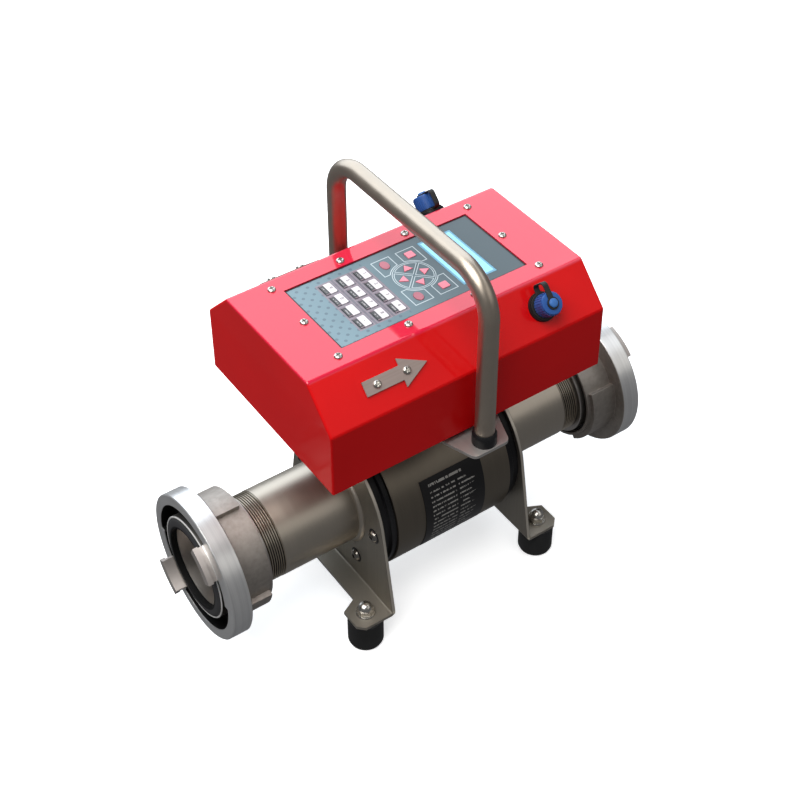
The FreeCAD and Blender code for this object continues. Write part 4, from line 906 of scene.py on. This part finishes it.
def makeNuts(form):
    nut = bmesh.new()
    washer, seat, across, height = form["washer"], form["washerTop"], form["across"], form["height"]
    spinOutline(nut, [(0.0, 0.0), (0.0, washer), (form["washerRim"], washer),
                      (seat, washer - form["washerEdge"]), (seat, 0.0)],
                axis="Z", steps=form["washerSteps"])
    addPrism(nut, across / 2 / math.cos(math.pi / 6), seat, height)
    softenEdges(nut, form["soft"], form["softAngle"])
    low, wide, dome = height - form["domeSink"], across * form["domeShare"], form["dome"]
    crown = [(height + dome * math.sin(a), wide * math.cos(a)) for a in form["domeTurns"]]
    spinOutline(nut, [(low, 0.0), (low, wide)] + crown + [(height + dome, 0.0)],
                axis="Z", steps=form["domeSteps"])
    closeSeams(nut)
    bm = stamp(nut, fourPlaces(footForm["x"], footForm["y"], form["seat"]))
    addPiece("domedNuts", bm, boltSteel, stands=["foot_nuts"])


makeBrackets(bracketForm)
makeFrameScrews(frameScrewForm, screwShadeRingForm)
makeFeet(footForm)
makeNuts(nutForm)
print("brackets and feet ready")


# hose couplings

tailForm = {"socket": 36.15, "neck": 41.5, "outer": 44.5, "back": 159.0, "step": 176.0,
            "face": 207.6, "seat": 43.05, "seatDepth": 4.0, "seatEdge": 0.3, "bore": 34.5,
            "tubeEnd": 190.0, "edge": 0.5, "steps": 128}
lugRingForm = {"soft": 0.35}
gasketForm = {"soft": 0.6, "softAngle": 25.0}


def makeTails(form):
    edge, neck, outer, socket = form["edge"], form["neck"], form["outer"], form["socket"]
    back, step, face, end = form["back"], form["step"], form["face"], form["tubeEnd"]
    seat, seatEdge, floor = form["seat"], form["seatEdge"], form["face"] - form["seatDepth"]
    outline = [
        (back, socket), (back, neck - edge), (back + edge, neck), (step, neck),
        (step, outer - edge), (step + edge, outer), (face - edge, outer), (face, outer - edge),
        (face, seat + seatEdge), (face - seatEdge, seat), (floor, seat), (floor, form["bore"]),
        (end, form["bore"]), (end, socket),
    ]
    for name, turn in (("outlet", Matrix()), ("inlet", mirrorEnd)):
        bm = turnedSolid(outline, onAxis @ turn, steps=form["steps"])
        addPiece(name + "TailBody", bm, tailMetal, stands=[name + "_tail"])


makeTails(tailForm)
for end in ("inlet", "outlet"):
    ring = end + "_lug_ring"
    softPiece(end + "LugRing", ring, ringMetal, lugRingForm, ring)
softPiece("gasketRings", "hose_gaskets", greyRubber, gasketForm)
print("couplings ready")


# carry handle, its plate and ferrules

handleForm = {"radius": 8.0, "y": 102.2, "foot": 209.7, "top": 364.0, "bend": 34.0, "sides": 40,
              "steps": 24}
ferruleForm = {"inner": 8.05, "outer": 10.0, "height": 11.0, "foot": 209.7, "shoulder": 0.72,
               "slope": 0.86, "edge": 0.3, "lip": 0.6, "steps": 48}
handlePlateForm = {"soft": 0.5}


def makeHandle(form):
    bm = bmesh.new()
    x, y, top, bend = sensorOffset * mm, form["y"] * mm, form["top"] * mm, form["bend"] * mm
    leg = top - bend - form["foot"] * mm
    ring = bmesh.ops.create_circle(bm, cap_ends=False, radius=form["radius"] * mm,
                                   segments=form["sides"],
                                   matrix=shift(sensorOffset, -form["y"], form["foot"]))
    edges = list({e for v in ring["verts"] for e in v.link_edges})

    def run(vector):
        made = bmesh.ops.extrude_edge_only(bm, edges=edges)["geom"]
        bmesh.ops.translate(bm, vec=vector, verts=pick(made, bmesh.types.BMVert))
        return pick(made, bmesh.types.BMEdge)

    def turn(centre):
        made = bmesh.ops.spin(bm, geom=edges, cent=centre, axis=(1, 0, 0), dvec=(0, 0, 0),
                              angle=-math.pi / 2, steps=form["steps"], use_duplicate=False)
        return pick(made["geom_last"], bmesh.types.BMEdge)

    edges = run((0, 0, leg))
    edges = turn((x, -y + bend, top - bend))
    edges = run((0, 2 * (y - bend), 0))
    edges = turn((x, y - bend, top - bend))
    edges = run((0, 0, -leg))
    bmesh.ops.holes_fill(bm, edges=bm.edges, sides=form["sides"])
    closeSeams(bm)
    addPiece("handleTube", bm, handleSteel, stands=["carry_handle"])


def makeFerrules(form):
    inner, outer, height = form["inner"], form["outer"], form["height"]
    ferrule = turnedSolid([(0.0, inner), (0.0, outer), (height * form["shoulder"], outer),
                           (height * form["slope"], outer - form["edge"]),
                           (height, inner + form["lip"]), (height, inner)],
                          axis="Z", steps=form["steps"])
    feet = [shift(sensorOffset, j * handleForm["y"], form["foot"]) for j in (-1, 1)]
    addPiece("handleFerrules", stamp(ferrule, feet), blackPlastic,
             stands=["handle_ferrules"])


makeHandle(handleForm)
makeFerrules(ferruleForm)
softPiece("handlePlate", "handle_plate", plateSteel, handlePlateForm)
print("handle ready")


# bent red cover with its window, screws and arrow plates

coverForm = {"length": 257.3, "half": 89.1, "topHalf": 57.95, "bottom": 215.9, "foot": 273.7,
             "top": 305.7, "bend": 1.8, "bendSteps": 5, "sheet": 1.5, "lip": 13.5,
             "window": (87.15, 40.8), "slack": 0.1, "smooth": 40.0}
coverScrewForm = {"head": 3.4, "height": 1.9, "rim": 0.5, "steps": 32,
                  "dome": ((0.55, 0.95), (0.85, 0.78), (1.0, 0.45)),
                  "slot": 0.65, "reach": 2.0, "depth": 1.3, "arm": 4.0,
                  "x": (94.0, 31.0), "y": 47.0, "base": (94.0, 81.6, 214.4),
                  "arrow": -61.4, "arrowAlong": (-17.0, 9.6), "arrowLift": 1.5,
                  "topTurn": 0.35, "arrowTurn": 0.4}
arrowForm = {"soft": 0.25}


def coverSkin(form, inset):
    # one skin of the folded sheet, open at the window and inside the bottom lip
    top, bottom, reach = form["top"] - inset, form["bottom"] + inset, form["length"] / 2 - inset
    foot = form["foot"] - inset * math.tan((math.pi / 2 - slopeAngle) / 2)
    side = [(form["half"] - inset, bottom), (form["half"] - inset, foot),
            (form["topHalf"] - inset * math.tan(slopeAngle / 2), top)]
    loop = [(-reach * mm, y * mm, z * mm) for y, z in side + mirrored(side)]
    bm = drawnSolid(loop, (2 * reach * mm, 0, 0))
    low, high = (bottom + form["slack"]) * mm, (top - form["slack"]) * mm
    bends = [e for e in bm.edges if max(v.co.z for v in e.verts) > low]
    bevelEdges(bm, bends, form["bend"] - inset, form["bendSteps"])
    wide, deep = form["window"]
    cuts = [((wide, 0), (1, 0, 0)), ((-wide, 0), (1, 0, 0)),
            ((0, deep), (0, 1, 0)), ((0, -deep), (0, 1, 0))]
    for (x, y), way in cuts:
        level = [f for f in bm.faces if f.normal.z > 0.999 and f.calc_center_median().z > high]
        geom = level + list({e for f in level for e in f.edges})
        geom += list({v for f in level for v in f.verts})
        bmesh.ops.bisect_plane(bm, geom=geom, plane_co=(x * mm, y * mm, 0), plane_no=way)
    centre = Vector((0, 0, top * mm))
    middle = min(bm.faces, key=lambda f: (f.calc_center_median() - centre).length)
    under = min(bm.faces, key=lambda f: f.calc_center_median().z)
    bmesh.ops.inset_individual(bm, faces=[under], thickness=(form["lip"] - inset) * mm)
    bmesh.ops.delete(bm, geom=[middle, under], context="FACES")
    return bm


def makeCover(form):
    bm = stamp(coverSkin(form, 0.0), [Matrix()])
    stamp(coverSkin(form, form["sheet"]), [Matrix()], bm)
    for high in (True, False):  # the window's rims, then the lip's
        rims = [e for e in bm.edges
                if e.is_boundary and (e.verts[0].co.z > form["foot"] * mm) == high]
        bmesh.ops.bridge_loops(bm, edges=rims)
    closeSeams(bm)
    addPiece("coverSheet", bm, redPaint, stands=["housing_cover"],
             smooth=form["smooth"])


def coverScrewPlaces(form):
    # each head in the cover has a turn of its own
    outer, inner = form["x"]
    spots = [(x, y) for x in (-outer, -inner, inner, outer) for y in (-form["y"], form["y"])]
    for x, y in spots + [(-outer, 0.0), (outer, 0.0)]:
        yield shift(x, y, coverForm["top"]) @ Matrix.Rotation(form["topTurn"] * x + y, 4, "Z")
    x, y, z = form["base"]
    for i in (-1, 0, 1):
        for j in (-1, 1):
            yield shift(i * x, j * y, z) @ Matrix.Rotation(math.pi, 4, "X")
    for side in (-1, 1):
        for x in form["arrowAlong"]:
            place = slopePlace(side, form["arrow"] + x, form["arrowLift"])
            yield place @ Matrix.Rotation(form["arrowTurn"] * x, 4, "Z")


def makeCoverScrews(form):
    head = domedHead(form)
    size = Matrix.Diagonal((form["reach"] * 2, form["slot"] * 2, form["arm"], 1))
    middle = shift(z=form["height"] - form["depth"] + form["arm"] / 2)
    for turn in (0.0, math.pi / 2):
        arm = bmesh.new()
        bmesh.ops.create_cube(arm, size=mm, matrix=Matrix.Rotation(turn, 4, "Z") @ middle @ size)
        head = carved(head, arm)
    closeSeams(head)
    bm = stamp(head, coverScrewPlaces(form))
    addPiece("coverScrewHeads", bm, boltSteel, stands=["cover_screws"])


makeCover(coverForm)
makeCoverScrews(coverScrewForm)
softPiece("arrowPlates", "flow_arrows", arrowSteel, arrowForm)
print("cover ready")


# keys, with plain figures on the number keys

keyForm = {"soft": 0.3}
figures = {"key_" + digit: digit for digit in "1234567890"}
figures.update({"key_point": ".", "key_sign": "-"})
figureForm = {"size": 4.2, "shift": 2.3, "lift": 0.02, "thick": 0.02}


def figureMesh(text, form):
    curve = bpy.data.curves.new("figure", "FONT")
    curve.body = text
    curve.size = form["size"] * mm
    curve.extrude = form["thick"] * mm
    curve.align_x = "CENTER"
    curve.align_y = "CENTER"
    thing = bpy.data.objects.new("figure", curve)
    scene.collection.objects.link(thing)
    solid = thing.evaluated_get(bpy.context.evaluated_depsgraph_get())
    mesh = bpy.data.meshes.new_from_object(solid)
    bpy.data.objects.remove(thing)
    bpy.data.curves.remove(curve)
    return mesh


def makeNumberKey(node, text, form):
    bm = softCopy(node, keyForm)
    low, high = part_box(node)
    spot = shift((low[0] + high[0]) / 2 / mm + form["shift"], (low[1] + high[1]) / 2 / mm,
                 high[2] / mm + form["lift"])
    mesh = figureMesh(text, form)
    mesh.transform(spot @ Matrix.Rotation(-math.pi / 2, 4, "Z"))
    plain = set(bm.faces)
    bm.from_mesh(mesh)
    bpy.data.meshes.remove(mesh)
    for face in set(bm.faces) - plain:
        face.material_index = 1
    addPiece(node + "Cap", bm, [numberKey, figureInk], body=node, stands=[node])


for node, text in figures.items():
    makeNumberKey(node, text, figureForm)
for node in ("key_up", "key_left", "key_down", "key_right", "key_menu", "key_enter"):
    softPiece(node + "Cap", node, pinkKey, keyForm, node)
for node in ("key_start", "key_stop"):
    softPiece(node + "Cap", node, redKey, keyForm, node)
dressNode("panel_overlay", overlayPrint)
dressNode("display_module", displayGlass)
print("keys ready")


# connectors, screw caps and straps

connectorForm = {"x": 76.5, "flange": 12.0, "flangeHeight": 3.0, "barrel": 8.2, "height": 13.0,
                 "depth": 16.0, "edge": 0.5, "flangeEdge": ((0.8, 0.0), (0.2, 0.3), (0.0, 1.0)),
                 "steps": 64}
capForm = {"inner": 8.5, "outer": 9.2, "foot": 5.0, "top": 17.5, "roof": 3.5, "edge": 1.2,
           "rib": 0.5, "ribWidth": 1.1, "ribGap": 1.0, "ribs": 28, "steps": 72}
buttonForm = {"stem": 2.0, "sink": 0.2, "button": 3.7, "stemTop": 18.8, "top": 20.4, "edge": 0.6,
              "edgeShare": 0.96, "topShare": 0.7, "steps": 40}
strapForm = {"soft": 0.25, "start": 4.5, "end": 17.0}


def makeConnector(end, side, form):
    flange, barrel, depth = form["flange"], form["barrel"], form["depth"]
    high, top, edge = form["flangeHeight"], form["height"], form["edge"]
    rim = [(high - a, flange - b) for a, b in form["flangeEdge"]]
    outline = [(-depth, 0.0), (-depth, barrel), (0.0, barrel), (0.0, flange)] + rim
    outline += [(high, barrel), (top - edge, barrel), (top, barrel - edge), (top, 0.0)]
    bm = turnedSolid(outline, slopePlace(side, form["x"]), axis="Z", steps=form["steps"])
    addPiece(end + "ConnectorBody", bm, blackPlastic,
             stands=[end + "_connector"])


def makeCap(end, side, form):
    place = slopePlace(side, connectorForm["x"])
    inner, outer, foot, top = form["inner"], form["outer"], form["foot"], form["top"]
    roof, shoulder = top - form["roof"], top - form["edge"]
    bm = bmesh.new()
    outline = [(foot, inner), (foot, outer)] + roundCorner(top, outer, form["edge"])
    spinOutline(bm, outline + [(top, 0.0), (roof, 0.0), (roof, inner)], place, axis="Z",
                steps=form["steps"])
    size = Matrix.Diagonal((form["rib"] * 2, form["ribWidth"], shoulder - foot - form["ribGap"], 1))
    middle = shift(outer, 0, (foot + shoulder) / 2)
    for step in range(form["ribs"]):
        turn = Matrix.Rotation(step * fullTurn / form["ribs"], 4, "Z")
        bmesh.ops.create_cube(bm, size=mm, matrix=place @ turn @ middle @ size)
    closeSeams(bm)
    addPiece(end + "CapBody", bm, bluePlastic, body=end + "_cap",
             stands=[end + "_cap"])


def makeButton(end, side, form):
    low, neck, top = capForm["top"] - form["sink"], form["stemTop"], form["top"]
    stem, button = form["stem"], form["button"]
    knob = turnedSolid([(low, 0.0), (low, stem), (neck, stem), (neck, button),
                        (top - form["edge"], button * form["edgeShare"]),
                        (top, button * form["topShare"]), (top, 0.0)],
                       slopePlace(side, connectorForm["x"]), axis="Z", steps=form["steps"])
    addPiece(end + "CapButton", knob, paleBlue, body=end + "_cap")


def makeStrap(end, side, form):
    strap = softPiece(end + "StrapBand", end + "_strap", blackRubber, form, None)
    low = slopePlace(side, connectorForm["x"], form["start"]).translation
    high = slopePlace(side, connectorForm["x"], form["end"]).translation
    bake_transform(strap)


for end, side in (("front", -1), ("rear", 1)):
    makeConnector(end, side, connectorForm)
    makeCap(end, side, capForm)
    makeButton(end, side, buttonForm)
    makeStrap(end, side, strapForm)
print("connectors ready")


# CAD nodes that keep their own shape

keptNodes = {
    "tube_liner": linerGrey, "excitation_coils": coilCopper, "electrodes": boltSteel,
    "housing_base": redPaint, "keypad_board": boardGreen, "main_board": boardGreen,
    "battery_pack": batteryGrey, "connector_nuts": nutBrass, "housing_spacers": blackRubber,
    "snap_rings": blackPlastic, "front_panel": plateSteel,
}
for node, finish in keptNodes.items():
    dressNode(node, finish)
print("kept nodes dressed")
